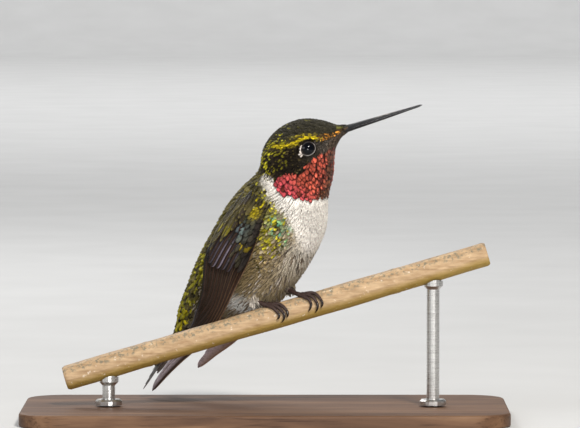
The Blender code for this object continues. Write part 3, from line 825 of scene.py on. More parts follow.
class Eye:
    """One eyeball: its centre, the way it looks, forward and down across it, and its rounded opening."""

    OPENING, OPENING_STRETCH = 47.5, 5.0        # degrees off the gaze, and how much wider it is lengthways

    def __init__(self, name, side):
        low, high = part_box(f"eye_{name}")
        self.centre = np.array((low + high) / 2) / MM
        here = on_body(EYE_ALONG, side * EYE_ANGLE)
        self.out = (here - self.centre) / np.linalg.norm(here - self.centre)
        ahead = on_body(EYE_ALONG + 0.5, side * EYE_ANGLE) - on_body(EYE_ALONG - 0.5, side * EYE_ANGLE)
        ahead -= (ahead @ self.out) * self.out
        self.ahead = ahead / np.linalg.norm(ahead)
        self.down = np.cross(self.out, self.ahead) * side

    def place(self, polar, turn, reach):
        """A point by its angle off the gaze, its turn from forward to down, and its distance out."""
        flat = np.cos(turn)[..., None] * self.ahead + np.sin(turn)[..., None] * self.down
        way = np.cos(polar)[..., None] * self.out + np.sin(polar)[..., None] * flat
        return self.centre + reach[..., None] * way

    def opening(self, turn):
        return np.radians(self.OPENING + self.OPENING_STRETCH * np.cos(2 * turn))

    def clear(self, points, share):
        """Push feathers out of the ball and away from its opening, fully at the tip, where share is 1."""
        offset = points - self.centre
        reach = np.linalg.norm(offset, axis=-1)
        turn = np.arctan2(offset @ self.down, offset @ self.ahead)
        polar = np.arccos(np.clip(offset @ self.out / np.maximum(reach, 1e-6), -1, 1))
        near = (reach < 3.0) & (polar < 1.9)
        rim = self.opening(turn) + np.radians(4.0)
        surface = EYE_RADIUS + 0.04 + 0.16 * share
        moved = self.place(np.maximum(polar, rim), turn, np.maximum(reach, surface))
        weight = (near & ((polar < rim) | (reach < surface))) * smooth(share, 0.0, 0.35)
        return points + (moved - points) * weight[..., None]


def from_eye(along, angle):
    """Millimetres from the nearer eye, backwards and down the cheek."""
    return EYE_ALONG - along, (np.abs(angle) - EYE_ANGLE) * BODY_RADIUS_AT_EYE


def lie_of_coat(along, angle):
    """How far each feather turns from straight back: round the eye, and towards the back on the flanks."""
    x, y, side = *from_eye(along, angle), np.where(angle < 0, -1.0, 1.0)
    room = 1.3**2
    r2 = np.maximum(x**2 + y**2, room)
    flow = np.arctan2(-2.0 * room * x * y / r2**2, 1.0 - room * (x**2 - y**2) / r2**2)
    degrees = np.degrees(np.abs(angle))
    flank = band(degrees, 66, 96, 138, 178) * band(along, 12, 20, 33, 40)
    neck = band(degrees, 80, 92, 110, 150) * band(along, 36, 38, 40, 43)
    return side * (flow * smooth(np.sqrt(r2), 4.0, 2.4) - 0.42 * flank - 0.30 * neck)


def near_eye(along, degrees):
    """Distance from the middle of the eye's opening, 1 at its rim."""
    back, down = from_eye(along, np.radians(degrees))
    return np.hypot(back / 1.30, down / 1.12)


def vanes_on(surface, vane, along, across, turn, length, width, sink, style):
    """Every point of every vane on a surface of its own two directions, the tip down the first of them."""
    count, step = len(along), 0.05
    here, sink = surface(along, across, 0.0), np.broadcast_to(sink, count)[:, None]
    per_along = np.linalg.norm(surface(along + step, across, 0.0) - here, axis=1) / step
    per_across = np.linalg.norm(surface(along, across + step, 0.0) - here, axis=1) / step
    turn = (turn + RNG.normal(0, style.scatter, count))[:, None]
    length = (length * RNG.uniform(0.85, 1.15, count))[:, None]
    width = (width * RNG.uniform(0.85, 1.15, count))[:, None]
    lift = style.lift * RNG.uniform(0.3, 1.6, count)[:, None]
    x = vane.x * length + vane.swept * width
    y = vane.y * width + style.curl * RNG.normal(0, 1, count)[:, None] * vane.x**2
    z = -sink + (lift + sink) * vane.x**style.rise + 0.02 * (1.0 - np.abs(vane.c))
    z = z - style.camber * width * (2.0 * vane.y) ** 2 + style.above
    back, around = turned(x, y, turn)
    return (along[:, None] - back / per_along[:, None],
            across[:, None] + around / np.maximum(per_across, 0.6)[:, None], z)


def dress(vane, colour, gloss, style):
    """Tint and gloss of every point: darker at the root, and at the rim if the style says so."""
    colour = colour * np.exp(RNG.normal(0, style.uneven, len(colour)))[:, None]
    bright = smooth(vane.x, *style.bright_from)
    rim = smooth(np.abs(2 * vane.y), *style.rim_from) * smooth(vane.x, 0.3, 0.6)
    rim = np.clip(rim + smooth(vane.x, 0.84, 0.97), 0, 1) * style.rim
    tints = mix(colour[:, None, :] * style.base, colour[:, None, :], bright[None, :])
    tints = mix(tints, np.asarray(style.rim_colour)[None, None, :], rim[None, :])
    return tints, np.broadcast_to(gloss, len(colour))[:, None] * (bright * (1 - rim))[None, :]


def coat(name, vane, rows, keep, length, width, material, slot, over_wing=False, **style):
    """A region of the body's coat: vanes that follow its shape, tip over root. Rows gives the steps along
    and round the body and where to start and end; keep(along, degrees) is where tips may show."""
    style = Style(**style)
    along, angle = scatter(*rows, length, keep, mantle=over_wing).T
    at, over, z = vanes_on(on_body, vane, along, angle, lie_of_coat(along, angle), length, width,
                           style.sink * coat_depth(along), style)
    if over_wing:
        z = z + COVER.read(COVER.height, at, over)
    else:
        z = np.minimum(z, COVER.read(COVER.room, at, over, nearest=True) - 0.80)
    count, shown, degrees = len(along), along - tips(length), np.degrees(np.abs(angle))
    colour, gloss = markings(shown + RNG.normal(0, 0.10, count), degrees + RNG.normal(0, 1.0, count))
    for chance, fleck in style.flecks:
        lit = RNG.random(count) < (chance(shown, degrees) if callable(chance) else chance)
        colour = np.where(lit[:, None], np.asarray(fleck) * RNG.uniform(0.5, 1.3, (count, 1)), colour)
    tints, gloss = dress(vane, colour, gloss, style)
    points = on_body(at, over, z)
    if along.max() > 44.0:
        for eye in EYES.values():
            points = eye.clear(points, np.broadcast_to(vane.x, points.shape[:2]))
    assemble(name, vane, points, tints, gloss, skin_place(along, angle), PATCH, material, slot)


def add_head_coat():
    """Scales of the crown, nape and face, the bright lines and spots on them, and the throat."""
    fine = feather_material("Face feathers", 0.6, 0.14, 90.0)
    metal = feather_material("Throat feathers", 0.38, 0.22, 110.0)
    slot = "crown_feathers"

    def round_face(a, d):
        return ((a > 37.7) & ~in_gorget(a, d) & (near_eye(a, d) > 0.80) & (near_eye(a + 0.6, d) > 0.95)
                & ((d < value(GORGET_TOP, a) + 2) | (a > 48.2)))

    def crown(a, d):
        return round_face(a, d) & (d < value(BROW_TOP, a) + 3)

    def nape(a, d):
        return (d < 72) & (a > 36.8) & (a < 41.2) & ~in_gorget(a, d)

    def face(a, d):
        return round_face(a, d) & (d >= value(BROW_TOP, a) + 2) & ((d > 70) | (a > 40.8))

    def brow(a, d):
        return (np.abs(d - value(BROW_LINE, a)) < 2.4) & (a > 41.6) & (a < 48.3)

    def lore(a, d):
        return (before_eye(a, d) > 0.5) & (a < 52.2)

    def eye_spot(a, d):
        return (np.abs(near_eye(a, d) - 1.17) < 0.18) & (a < EYE_ALONG - 0.9) & (np.abs(d - 86) < 9.0)

    def throat(a, d):
        return in_gorget(a - 0.15, d - 1.5)

    def nape_gold(a, d):
        return 0.34 * band(a, 37.4, 38.4, 42.6, 44.2) * band(d, 20, 34, 62, 78)

    def brow_gold(a, d):
        return 0.30 * in_brow(a, d)

    def cheek_gold(a, d):
        return 0.30 * smooth(a, 43.6, 41.5) * smooth(d, 100, 84)

    def cheek_brown(a, d):
        return 0.12 * smooth(a, 46, 44)

    coat("coat_crown", ROUND, (0.34, 0.44, 41.0, 52.6), crown, 1.0, 0.60, fine, slot,
         rim=0.35, rim_colour=(0.075, 0.064, 0.042), lift=0.05, uneven=0.20, base=0.5,
         flecks=((nape_gold, GREEN_GOLD), (0.05, (0.14, 0.13, 0.03))))
    coat("coat_nape", ROUND, (0.38, 0.46, 37.9, 42.5), nape, 1.2, 0.62, fine, slot,
         rim=0.3, lift=0.07, uneven=0.3, flecks=((nape_gold, GREEN_GOLD),))
    coat("coat_face", ROUND, (0.27, 0.34, 37.8, 52.65), face, 0.78, 0.43, fine, slot,
         uneven=0.25, lift=0.04,
         flecks=((nape_gold, GREEN_GOLD), (brow_gold, (0.26, 0.20, 0.02)), (cheek_gold, (0.15, 0.13, 0.012)),
                 (cheek_brown, (0.060, 0.045, 0.018))))
    coat("coat_brow", ROUND, (0.24, 0.30, 41.5, 49.2), brow, 0.75, 0.36, metal, slot,
         lift=0.05, base=0.8, uneven=0.25, above=0.05, flecks=((0.85, GOLD),))
    coat("coat_lore", ROUND, (0.22, 0.27, 47.6, 52.4), lore, 0.5, 0.27, metal, slot,
         lift=0.05, base=0.3, uneven=0.25, above=0.05,
         flecks=((0.48, (0.50, 0.21, 0.03)), (0.06, (0.52, 0.32, 0.03))))
    coat("coat_eye_spot", ROUND, (0.22, 0.22, 44.2, 46.4), eye_spot, 0.7, 0.36, fine, slot,
         lift=0.05, base=0.9, uneven=0.05, above=0.08, scatter=0.03, flecks=((1.0, (0.74, 0.66, 0.60)),))
    coat("coat_gorget", ROUND, (0.56, 0.76, 37.5, 50.5), throat, 1.5, 0.98, metal, slot,
         rim=0.95, rim_colour=(0.030, 0.008, 0.006), rim_from=(0.42, 0.74), uneven=0.26, lift=0.10,
         camber=0.07, base=0.10, bright_from=(0.38, 0.62), flecks=((0.07, (0.20, 0.030, 0.020)),))


def add_body_coat():
    """White breast, green-gold flanks, grey belly, bronze back and rump, and the down round the vent."""
    green = feather_material("Back feathers", 0.5, 0.10, 150.0)
    down = feather_material("Belly feathers", 0.8, 0.12, 190.0, sheen=0.12)
    below, above = "belly_feathers", "back_feathers"

    def breast(a, d):
        white = (a > value(WHITE_END, d) - 1.2) & (a < value(GORGET_END, d) + 0.45)
        return (d > 52) & ~in_gorget(a + 0.6, d) & white

    def flank(a, d):
        return (d > 74) & (d < 138) & (a > 27.5 - 0.05 * (d - 74)) & (a < value(WHITE_END, d) + 0.2)

    def belly(a, d):
        return ((d > 132) | ((a < 28.5) & (d > 80))) & (a < value(WHITE_END, d) - 0.2)

    def back(a, d):
        return (d < 84) & (a < 37.3)

    def rump(a, d):
        return (d < 100) & (a > -3.2) & (a < 8.6)

    def vent(a, d):
        return (d >= 94) & (a < 6.5)

    def flank_gold(a, d):
        return 0.42 * smooth(a, 25, 30) * smooth(d, 136, 120)

    def flank_green(a, d):
        return 0.16 * smooth(a, 30, 31.5) * band(d, 104, 112, 130, 138)

    def flank_tan(a, d):
        return 0.20 * smooth(d, 96, 112)

    def flank_dark(a, d):
        return 0.12 * (a < value(WHITE_END, d) - 1.8)

    def belly_streaks(a, d):
        return 0.18 * smooth(d, 120, 140)

    def lower_back_gold(a, d):
        return 0.50 * smooth(a, 24, 16)

    coat("coat_breast", SOFT, (0.30, 0.34, 29.0, 42.5), breast, 1.8, 0.56, down, below,
         uneven=0.03, lift=0.035, rise=1.4, base=1.0, scatter=0.06, curl=0.03, sink=0.5, camber=0.05)
    coat("coat_flank", CONTOUR, (0.42, 0.50, 24.0, 38.9), flank, 1.5, 0.62, green, below,
         uneven=0.28, lift=0.09, scatter=0.13, base=0.6,
         flecks=((flank_gold, (0.50, 0.44, 0.035)), (flank_green, (0.26, 0.46, 0.20)),
                 (flank_tan, (0.33, 0.27, 0.18)), (flank_dark, (0.11, 0.090, 0.030))))
    coat("coat_belly", SOFT, (0.405, 0.425, 6.0, 35.5), belly, 2.2, 0.53, down, below,
         uneven=0.10, lift=0.08, rise=1.1, base=0.95, scatter=0.11, curl=0.07, camber=0.06,
         bright_from=(0.1, 0.4), flecks=((belly_streaks, (0.21, 0.16, 0.11)), (0.10, (0.46, 0.40, 0.33))))
    coat("coat_back", CONTOUR, (0.66, 0.80, 10.0, 39.2), back, 2.5, 1.10, green, above, over_wing=True,
         uneven=0.28, rim=0.55, rim_colour=(0.17, 0.145, 0.050), lift=0.10, base=0.3,
         flecks=((lower_back_gold, GREEN_GOLD), (0.10, GREEN_GOLD), (0.30, (0.035, 0.028, 0.012))))
    coat("coat_rump", CONTOUR, (0.72, 0.86, -2.0, 11.5), rump, 2.7, 1.15, green, above,
         uneven=0.3, rim=0.5, rim_colour=(0.030, 0.026, 0.010), lift=0.12,
         flecks=((0.5, GREEN_GOLD), (0.12, (0.56, 0.46, 0.015)), (0.2, (0.035, 0.03, 0.012))))
    coat("coat_vent", SOFT, (0.55, 0.58, -3.0, 9.0), vent, 3.2, 0.85, down, below,
         uneven=0.12, lift=0.16, base=0.8, scatter=0.12)
    for name in SIDES:
        add_thigh_coat(name, down)


# ---------------------------------------------------------------- skin, eyes, bill and feet

BARE_LEG, THIGH_SKIN, ARM_SKIN = (0.040, 0.022, 0.018), (0.15, 0.12, 0.09), (0.035, 0.028, 0.022)
LID_DARK, LID_PALE = (0.012, 0.010, 0.009), (0.17, 0.155, 0.145)
LEG_RADII = ((0, 0.85), (1.5, 1.5), (4, 2.1), (9, 2.3))     # of the feathered leg, from the ankle up
# the lid's section: degrees beyond the opening's rim, and height over the ball
LID_SECTION = ((-1.5, 0.0), (0, 0.05), (2.5, 0.08), (5.5, 0.06), (9, 0.0), (16, -0.06), (18, -0.3),
               (0, -0.2))
# the far leg's darker colour at the foot is painted shade
CUFFS = {"right": (0.9, 0.22, (0.50, 0.45, 0.39)),          # where a leg's down starts, its map's corner
         "left": (1.8, 0.72, (0.16, 0.13, 0.10))}           # and its colour at the foot


def leg_line(name):
    """Hip, knee and ankle of one leg."""
    hip = pose([(HIPS[0], SIDES[name] * HIPS[1], HIPS[2])])[0]
    ankle = on_perch(*FEET[name]["ankle"])
    return hip, hip + (ankle - hip) * 0.55, ankle


def add_thigh_coat(name, material):
    """Loose down round the lower leg, pale where it meets the near foot and darker at the far foot, where the
    darkening is painted shade.
    """
    hip, _, ankle = leg_line(name)
    length = np.linalg.norm(hip - ankle)
    down = (ankle - hip) / length
    side = np.cross(down, (0.0, 1.0, 0.0))
    side /= np.linalg.norm(side)
    other = np.cross(down, side)

    def on_leg(along, angle, above=0.0):
        along, angle, above = np.broadcast_arrays(along, angle, above)
        radius = value(LEG_RADII, along) + above
        return (ankle - along[..., None] * down + (radius * np.cos(angle))[..., None] * side
                + (radius * np.sin(angle))[..., None] * other)

    start, shift, cuff = CUFFS[name]
    rows, turns = np.arange(start, min(0.62 * length, 5.5), 0.42), np.linspace(-pi, pi, 26, endpoint=False)
    along, angle = (grid.ravel() for grid in np.meshgrid(rows, turns))
    count = len(along)
    along, angle = along + RNG.normal(0, 0.12, count), angle + RNG.normal(0, 0.10, count)
    style = Style(lift=0.22, scatter=0.22, curl=0.12, uneven=0.12, base=0.7, camber=0.06,
                  bright_from=(0.1, 0.4))
    at, over, z = vanes_on(on_leg, SOFT, along, angle, 0.0, 2.2, 0.6, 0.4, style)
    tints, gloss = dress(SOFT, mix(cuff, BELLY, smooth(along, 1.2, 3.0)), 0.0, style)
    centres = np.column_stack([shift + 0.24 * (angle / (2 * pi) + 0.5) % 0.26, 0.84 + 0.012 * along])
    assemble(f"coat_thigh_{name}", SOFT, on_leg(at, over, z), tints, gloss, centres, PATCH, material,
             "belly_feathers")


def leg_parts(name):
    """Bare leg, foot and toes of one side, and the claws apart."""
    foot = FEET[name]
    pad = on_perch(*foot["pad"], 0.42)
    hip, knee, ankle = leg_line(name)
    skin = [tube([hip, knee, ankle], (1.9, 1.4, 0.60)),
            tube([ankle + (hip - ankle) * 0.06, (ankle + pad) / 2, pad], (0.46, 0.36, 0.46))]
    claws, share = [], np.array((0.0, 0.2, 0.45, 0.75, 1.0))
    back_toe = tuple((foot["pad"][0] + along, angle) for along, angle in HALLUX)
    for places in (back_toe, *foot["toes"]):
        line = np.column_stack([np.arange(4), places])
        joints = zip(curve(line, (0.0, 0.8, 1.62)), (0.37, 0.33, 0.30))
        toe = [on_perch(*place, high) for place, high in joints]
        skin.append(tube([pad, *toe], (0.38, 0.31, 0.28, 0.24), 14, 10))
        claw = [on_perch(*place, 0.27 + 0.34 * sin(pi * k) - 0.18 * k)
                for place, k in zip(curve(line, 1.35 + 1.65 * share), share)]
        claws.append(tube(claw, (0.21, 0.24, 0.20, 0.12, 0.03), 12, 8))
    return skin, claws


def arm_part(side):
    """The flesh of the folded arm, a thin rounded plate under the coverts, and its map."""
    rows, across = 24, 14
    points, places = [], []
    bulge = np.r_[0.20 * np.sin(np.linspace(0, pi, across)), np.full(across, -0.18)]
    for x in np.linspace(-0.4, ARM_END + 1.5, rows):
        y = np.linspace(value(WING_LEAD, x) + 0.45, value(WING_TRAIL, min(x, 8.0)) - 0.6, across)
        x, y = np.full(2 * across, x), np.r_[y, y[::-1]]
        points.append(on_wing(side, x, y, bulge))
        places.append(wing_place(side, x, y))
    around = 2 * across
    part = np.vstack(points), grid_faces(rows, around, closed=True), end_fans(rows, around)
    return part, np.vstack(places)


def lid_part(name):
    """A thin closed rim of bare skin that hugs the eyeball round its opening, and its tints."""
    turn, eye = np.linspace(0, 2 * pi, 72, endpoint=False), EYES[name]
    rows = [eye.place(eye.opening(turn) + np.radians(wide), turn, np.full(len(turn), EYE_RADIUS + high))
            for wide, high in (*LID_SECTION, LID_SECTION[0])]
    below = smooth(np.sin(turn) + 0.25 * np.cos(turn), -0.35, 0.45)
    quads = grid_faces(len(rows), len(turn), closed=True)
    part = np.vstack(rows), quads if name == "right" else quads[:, ::-1], np.empty((0, 3), int)
    return part, np.tile(mix(LID_DARK, LID_PALE, below), (len(rows), 1))


def body_skin():
    """The bare body under the coat, hollowed where the eyes sit, its tints and its map."""
    rows, around = 230, 120
    along, angle = np.linspace(-1.0, BODY_LENGTH + 0.2, rows), np.linspace(-pi, pi, around, endpoint=False)
    along, angle = (grid.ravel() for grid in np.meshgrid(along, angle, indexing="ij"))
    hollow = 1.3 * smooth(np.hypot(*from_eye(along, angle)), 1.9, 1.2)
    points = on_body(along, angle, -coat_depth(along) - hollow)
    part = points, grid_faces(rows, around, closed=True), end_fans(rows, around, flip=True)
    return part, markings(along, np.degrees(np.abs(angle)))[0] * 0.7, skin_place(along, angle)


def add_skin():
    """One skin in place of all nodes of flesh, and the claws apart."""
    body, colour, places = body_skin()
    parts, tints, maps, claws = [body], [colour], [places], []
    for name, side in SIDES.items():
        arm, arm_places = arm_part(side)
        leg, leg_claws = leg_parts(name)
        lid, lid_tints = lid_part(name)
        claws += leg_claws
        parts += [arm, *leg, lid]
        shades = [ARM_SKIN, THIGH_SKIN] + [BARE_LEG] * (len(leg) - 1)
        tints += [np.tile(shade, (len(points), 1)) for shade, (points, _, _) in zip(shades, [arm, *leg])]
        tints.append(lid_tints)
        maps.append(arm_places)
        for order, (points, _, _) in enumerate([*leg, lid]):
            flat = (points - points.min(0)) / np.ptp(points, axis=0)
            corner = np.array([(0.22 if side < 0 else 0.72) + 0.035 * order, 0.83])
            maps.append(corner + flat[:, [0, 2]] * (0.03, 0.14))
    nodes = ["head", "neck", "trunk", "rump"]
    nodes += [f"{part}_{name}" for part in ("thigh", "tarsus", "foot") for name in SIDES]
    nodes += [f"wing_{name}_arm" for name in SIDES]
    new_piece("skin", *joined(parts), skin_material(), "leg_skin", nodes,
              {"Tint": np.vstack(tints)}, {"OFBake": np.vstack(maps)})
    horn = horn_material("Claw horn", (0.008, 0.006, 0.006), (0.030, 0.018, 0.014), 0.20, 900.0)
    points, faces = joined(claws)
    new_piece("claws", points, faces, horn, "leg_skin", tints={"Dust": np.zeros(len(points))})


def add_eyes():
    """Wet dark eyeballs, the cornea a little proud."""
    material = eye_material()
    rows, around = 49, 80
    polar, turn = np.linspace(0, pi, rows), np.linspace(0, 2 * pi, around, endpoint=False)
    polar, turn = np.meshgrid(polar, turn, indexing="ij")
    swell = EYE_RADIUS * (1.0 + 0.03 * smooth(polar, 0.75, 0.2))
    ring = np.clip(np.sin(polar) * EYE_RADIUS / 1.2, 0, 1).ravel()
    for name, side in SIDES.items():
        faces = grid_faces(rows, around, closed=True)
        new_piece(f"eyeball_{name}", EYES[name].place(polar, turn, swell).reshape(-1, 3),
                  [faces if side < 0 else faces[:, ::-1]], material, "eye", [f"eye_{name}"], {"Ring": ring})


def add_bill():
    """Two slim halves of black horn, the upper one ridged, grooved along the nostrils and dusty."""
    material = horn_material("Bill horn", (0.007, 0.007, 0.008), (0.026, 0.025, 0.026), 0.42, 700.0)
    ahead = np.array([cos(BILL_PITCH), 0.0, sin(BILL_PITCH)])
    above = np.array([-sin(BILL_PITCH), 0.0, cos(BILL_PITCH)])
    rows, around = 70, 24
    turn = np.linspace(0.0, pi, around)
    for name, sign, shorter in (("bill_upper", 1, 0.15), ("bill_lower", -1, 0.35)):
        length, upper = BILL_LENGTH - shorter, sign > 0
        rings, dust = [], []
        for k in -0.06 + 1.06 * (1.0 - (1.0 - np.linspace(0.0, 1.0, rows)) ** 1.4):
            taper = max(k, 0.0) ** 0.75
            end = np.sqrt(max(1.0 - max((k - 0.93) / 0.07, 0.0) ** 2, 0.03))
            depth, width = (base + (tip - base) * taper
                            for base, tip in (BILL_HALF_DEPTH[name], BILL_HALF_WIDTH))
            depth = (depth - 0.08 * smooth(k, 0.45, 0.9)) * end
            groove = 0.13 * smooth(k, 0.42, 0.22) * bell(np.sin(turn), 0.45, 0.15) * upper
            ridge = 1.0 + 0.06 * bell(turn, pi / 2, 0.3) * upper
            ring = (BILL_BASE + ahead * length * k)[None, :]
            ring = ring + np.outer(width * end * np.cos(turn) * (1 - groove), (0, 1, 0))
            ring = ring + np.outer(sign * (0.012 + depth * np.sin(turn) * (1 - groove) * ridge), above)
            rings.append(pose(turn_head(ring, 1.0)))
            dust.append(bell(k, 0.52, 0.15) * np.sin(turn) ** 2 * (1.0 if upper else 0.3))
        faces = [grid_faces(rows, around, closed=True), end_fans(rows, around)]
        new_piece(f"{name}_horn", np.vstack(rings), faces, material, "bill_horn", [name],
                  {"Dust": np.concatenate(dust)})


# ---------------------------------------------------------------- wings and tail

SHAFT = (0.045, 0.020, 0.012)
# painted sheen: the primaries' ends are painted pale lavender-grey, as flash light on the dark feathers
PRIMARY_TIP_SHEEN = np.array((0.27, 0.225, 0.24))     # the far primaries' ends, pale against the light
PRIMARY = (0.015, 0.0095, 0.006)
PRIMARY_LEAD = np.array((0.30, 0.165, 0.095))
# of each primary: its length, its place between the wing's edges, and its leading edge's brightness
PRIMARIES = ((43.4, 0.0, 1.0), (40.3, 0.10, 0.62), (37.4, 0.22, 0.55), (34.8, 0.35, 0.42),
             (32.2, 0.48, 0.30), (29.6, 0.61, 0.22), (27.0, 0.73, 0.16), (24.4, 0.84, 0.14),
             (21.9, 0.93, 0.12), (19.5, 1.0, 0.12))
# the secondaries' darker trailing edges are a painted shadow line where the next feather overlaps
SECONDARY, SECONDARY_TRAIL_SHADOW = (0.012, 0.009, 0.008), (0.006, 0.005, 0.005)
# painted sheen: the lavender gloss on the secondaries' leading edges
LAVENDER_SHEEN = np.array((0.24, 0.20, 0.26))
# of each secondary: the end's place in the wing's plan, and the strength of the painted lavender sheen on its
# leading edge
SECONDARIES = ((13.1, -0.9, 0.22), (13.4, 0.05, 0.32), (13.8, 0.95, 1.0), (14.2, 1.85, 0.62),
               (14.0, 2.65, 0.28), (13.0, 3.3, 0.16), (11.4, 3.8, 0.14))
RECTRICES = ((7.0, 0.75), (7.9, 1.5), (9.0, 2.25), (10.1, 2.95), (10.8, 3.6))   # length, and the tip's place
COVERT, COVERT_EDGE, COVERT_GOLD = (0.045, 0.038, 0.022), (0.026, 0.020, 0.017), (0.24, 0.175, 0.010)
# colours on the coverts: centre, radii, colour, strength
COVERT_SPOTS = (
    ((1.6, 0.7), (1.1, 0.9), (0.48, 0.37, 0.010), 0.95),
    ((5.2, 1.4), (2.0, 1.7), (0.085, 0.115, 0.115), 0.9),
    ((4.9, 2.4), (0.9, 0.7), (0.13, 0.11, 0.24), 0.8),
    ((5.7, 1.0), (0.7, 0.6), (0.30, 0.40, 0.37), 0.7),
    ((6.8, 3.3), (0.9, 0.9), (0.17, 0.14, 0.03), 0.8),
    ((3.0, 3.2), (1.6, 1.0), (0.10, 0.11, 0.080), 0.7))
COVERT_DOTS = ((7.45, -0.35), (7.6, -1.75), (8.1, -1.2))    # places of three golden feathers
# of each row of scapulars: how far down the wing it starts, and from where across it
SCAPULARS = ((-0.8, 2.0), (0.4, 2.1), (1.6, 2.3), (2.8, 2.6), (4.0, 3.0), (5.2, 3.5), (6.4, 4.0), (7.8, 4.4))
SCAPULAR, SCAPULAR_LIT, SCAPULAR_DARK = (0.060, 0.048, 0.018), (0.24, 0.20, 0.02), (0.030, 0.022, 0.014)


def flight_feathers(name, specs, place, material, replaces, rim_from=(0.62, 1.0), rim_along=None,
                    tip_sheen=None):
    """Long vanes with a raised shaft. Each spec is a path of (x, y), the widths to -y and +y of the shaft,
    its layer, its colour, and the colours of its two edges."""
    points, tints = [], []
    rim = smooth(np.abs(FLIGHT.c), *rim_from)
    if rim_along:
        rim = rim * smooth(FLIGHT.x, *rim_along)
    stem = np.abs(FLIGHT.c) < 0.1
    for path, widths, layer, colour, edges in specs:
        lengths = np.linalg.norm(np.diff(np.asarray(path, float), axis=0), axis=1)
        knots = np.column_stack([np.r_[0.0, np.cumsum(lengths)], path])
        end = knots[-1, 0]
        ahead = curve(knots, np.minimum(FLIGHT.x + 0.01, 1.0) * end)
        ahead = ahead - curve(knots, np.maximum(FLIGHT.x - 0.01, 0.0) * end)
        ahead /= np.linalg.norm(ahead, axis=1)[:, None]
        across = 2 * FLIGHT.y * np.where(FLIGHT.y < 0, *widths)
        rows = curve(knots, FLIGHT.x * end) + ahead * (FLIGHT.swept * sum(widths))[:, None]
        x, y = rows[:, 0] - ahead[:, 1] * across, rows[:, 1] + ahead[:, 0] * across
        points.append(place(x, y, layer - 0.06 * (2 * FLIGHT.y) ** 2 + 0.06 * (1.0 - FLIGHT.x) * stem))
        tint = np.asarray(colour) * np.exp(RNG.normal(0, 0.10))
        edge = np.where((FLIGHT.y < 0)[:, None], edges[0], edges[1])
        tint = tint[None, :] * (1 - rim[:, None]) + edge * rim[:, None]
        # painted sheen: the ends of the primaries are tinted pale lavender-grey
        if tip_sheen is not None:
            off_lead = y - value(WING_LEAD, x)
            tint = mix(tint, tip_sheen, smooth(x, 30, 36.5) * smooth(off_lead, 0.35, 1.0) * 0.95)
        tints.append(np.where(stem[:, None], SHAFT, tint))
    points, count = np.array(points), len(specs)
    centres = np.column_stack([(np.arange(count) + 0.5) / count, np.full(count, 0.5)])
    gloss = np.full(points.shape[:2], 0.08)
    assemble(name, FLIGHT, points, np.array(tints), gloss, centres, (0.9 / count, 0.9), material,
             "flight_feathers", replaces)


def primary_specs(shorter):
    """Ten primaries: the outermost longest, along the leading edge and lowest in the stack. Towards their
    ends the others close up at the trailing edge."""
    specs = []
    for k, (length, share, bright) in enumerate(PRIMARIES):
        length = length - shorter
        end = 1.0 if k else 0.15
        stops = np.linspace(1.5, length, 11)
        share = share + (end - share) * smooth(stops, length - 11.0, length)
        lead = value(WING_LEAD, stops)
        width = np.maximum(value(WING_TRAIL, stops) - lead - 1.07, 0.0)
        path = np.column_stack([stops, lead + 0.42 + share * width * smooth(stops, -4.0, 13.0)])
        # the middle primaries' trailing edges carry a painted lavender sheen, the others a darker painted
        # shadow line where the next feather overlaps
        edges = PRIMARY_LEAD * bright, (0.16, 0.14, 0.17) if k in (4, 5, 6) else (0.010, 0.007, 0.005)
        specs.append((path, (0.50, 1.30 - 0.65 * end), -0.34 + 0.075 * k, PRIMARY, edges))
    return specs


def secondary_specs():
    """Six secondaries and a tertial over the primaries' bases, each over the one before it, with a painted
    lavender sheen on their leading edges and a painted shadow line on their trailing edges.
    """
    specs = []
    for k, (x, y, bright) in enumerate(SECONDARIES):
        path = [(3.5, y * 0.85 + 0.3), (7.0, y * 0.95 + 0.35), (10.5, y + 0.25), (x, y)]
        specs.append((path, (0.55, 0.95), 0.32 + 0.06 * k, SECONDARY, (LAVENDER_SHEEN * bright, SECONDARY_TRAIL_SHADOW)))
    return specs


def tail_specs(side):
    """Five tail feathers of one side, the outermost longest and lowest."""
    specs = []
    for k, (length, out) in enumerate(RECTRICES):
        path = [(-9.0, side * (0.3 + 0.25 * k)), (-2.0, side * (0.55 + 0.42 * k)),
                (length * 0.5, side * (out - 0.1)), (length, side * out)]
        widths = (0.75, 1.25) if side < 0 else (1.25, 0.75)
        shade = (0.020, 0.017, 0.014) if k else (0.040, 0.045, 0.018)
        edge = (0.15, 0.085, 0.050) if k == 4 else (0.070, 0.055, 0.045)
        specs.append((path, widths, 0.12 - 0.09 * k + 0.02 * (side > 0), shade, (edge, edge)))
    return specs


def covert_paint(x, y):
    """Colours of the coverts by their tips' places in the wing's plan."""
    colour = np.broadcast_to(COVERT, (*x.shape, 3))
    for centre, radii, shade, strength in COVERT_SPOTS:
        colour = mix(colour, shade, strength * spot(x, y, centre, radii))
    colour = mix(colour, COVERT_EDGE, smooth(y - value(WING_LEAD, x), 1.1, 0.6) * smooth(x, 1.6, 2.6))
    dots = (x < 0.9) & (y > 0.1) & (RNG.random(len(x)) < 0.42)
    colour = np.where(dots[:, None], (0.56, 0.45, 0.012), colour)
    for place in COVERT_DOTS:
        near = np.hypot(x - place[0], y - place[1]) < 0.33
        colour = np.where(near[:, None], COVERT_GOLD, colour)
    return colour


def wing_surface(side):
    """The folded wing as a surface whose first direction runs from its tip to the wrist."""
    return lambda along, across, above: on_wing(side, -along, across, above)


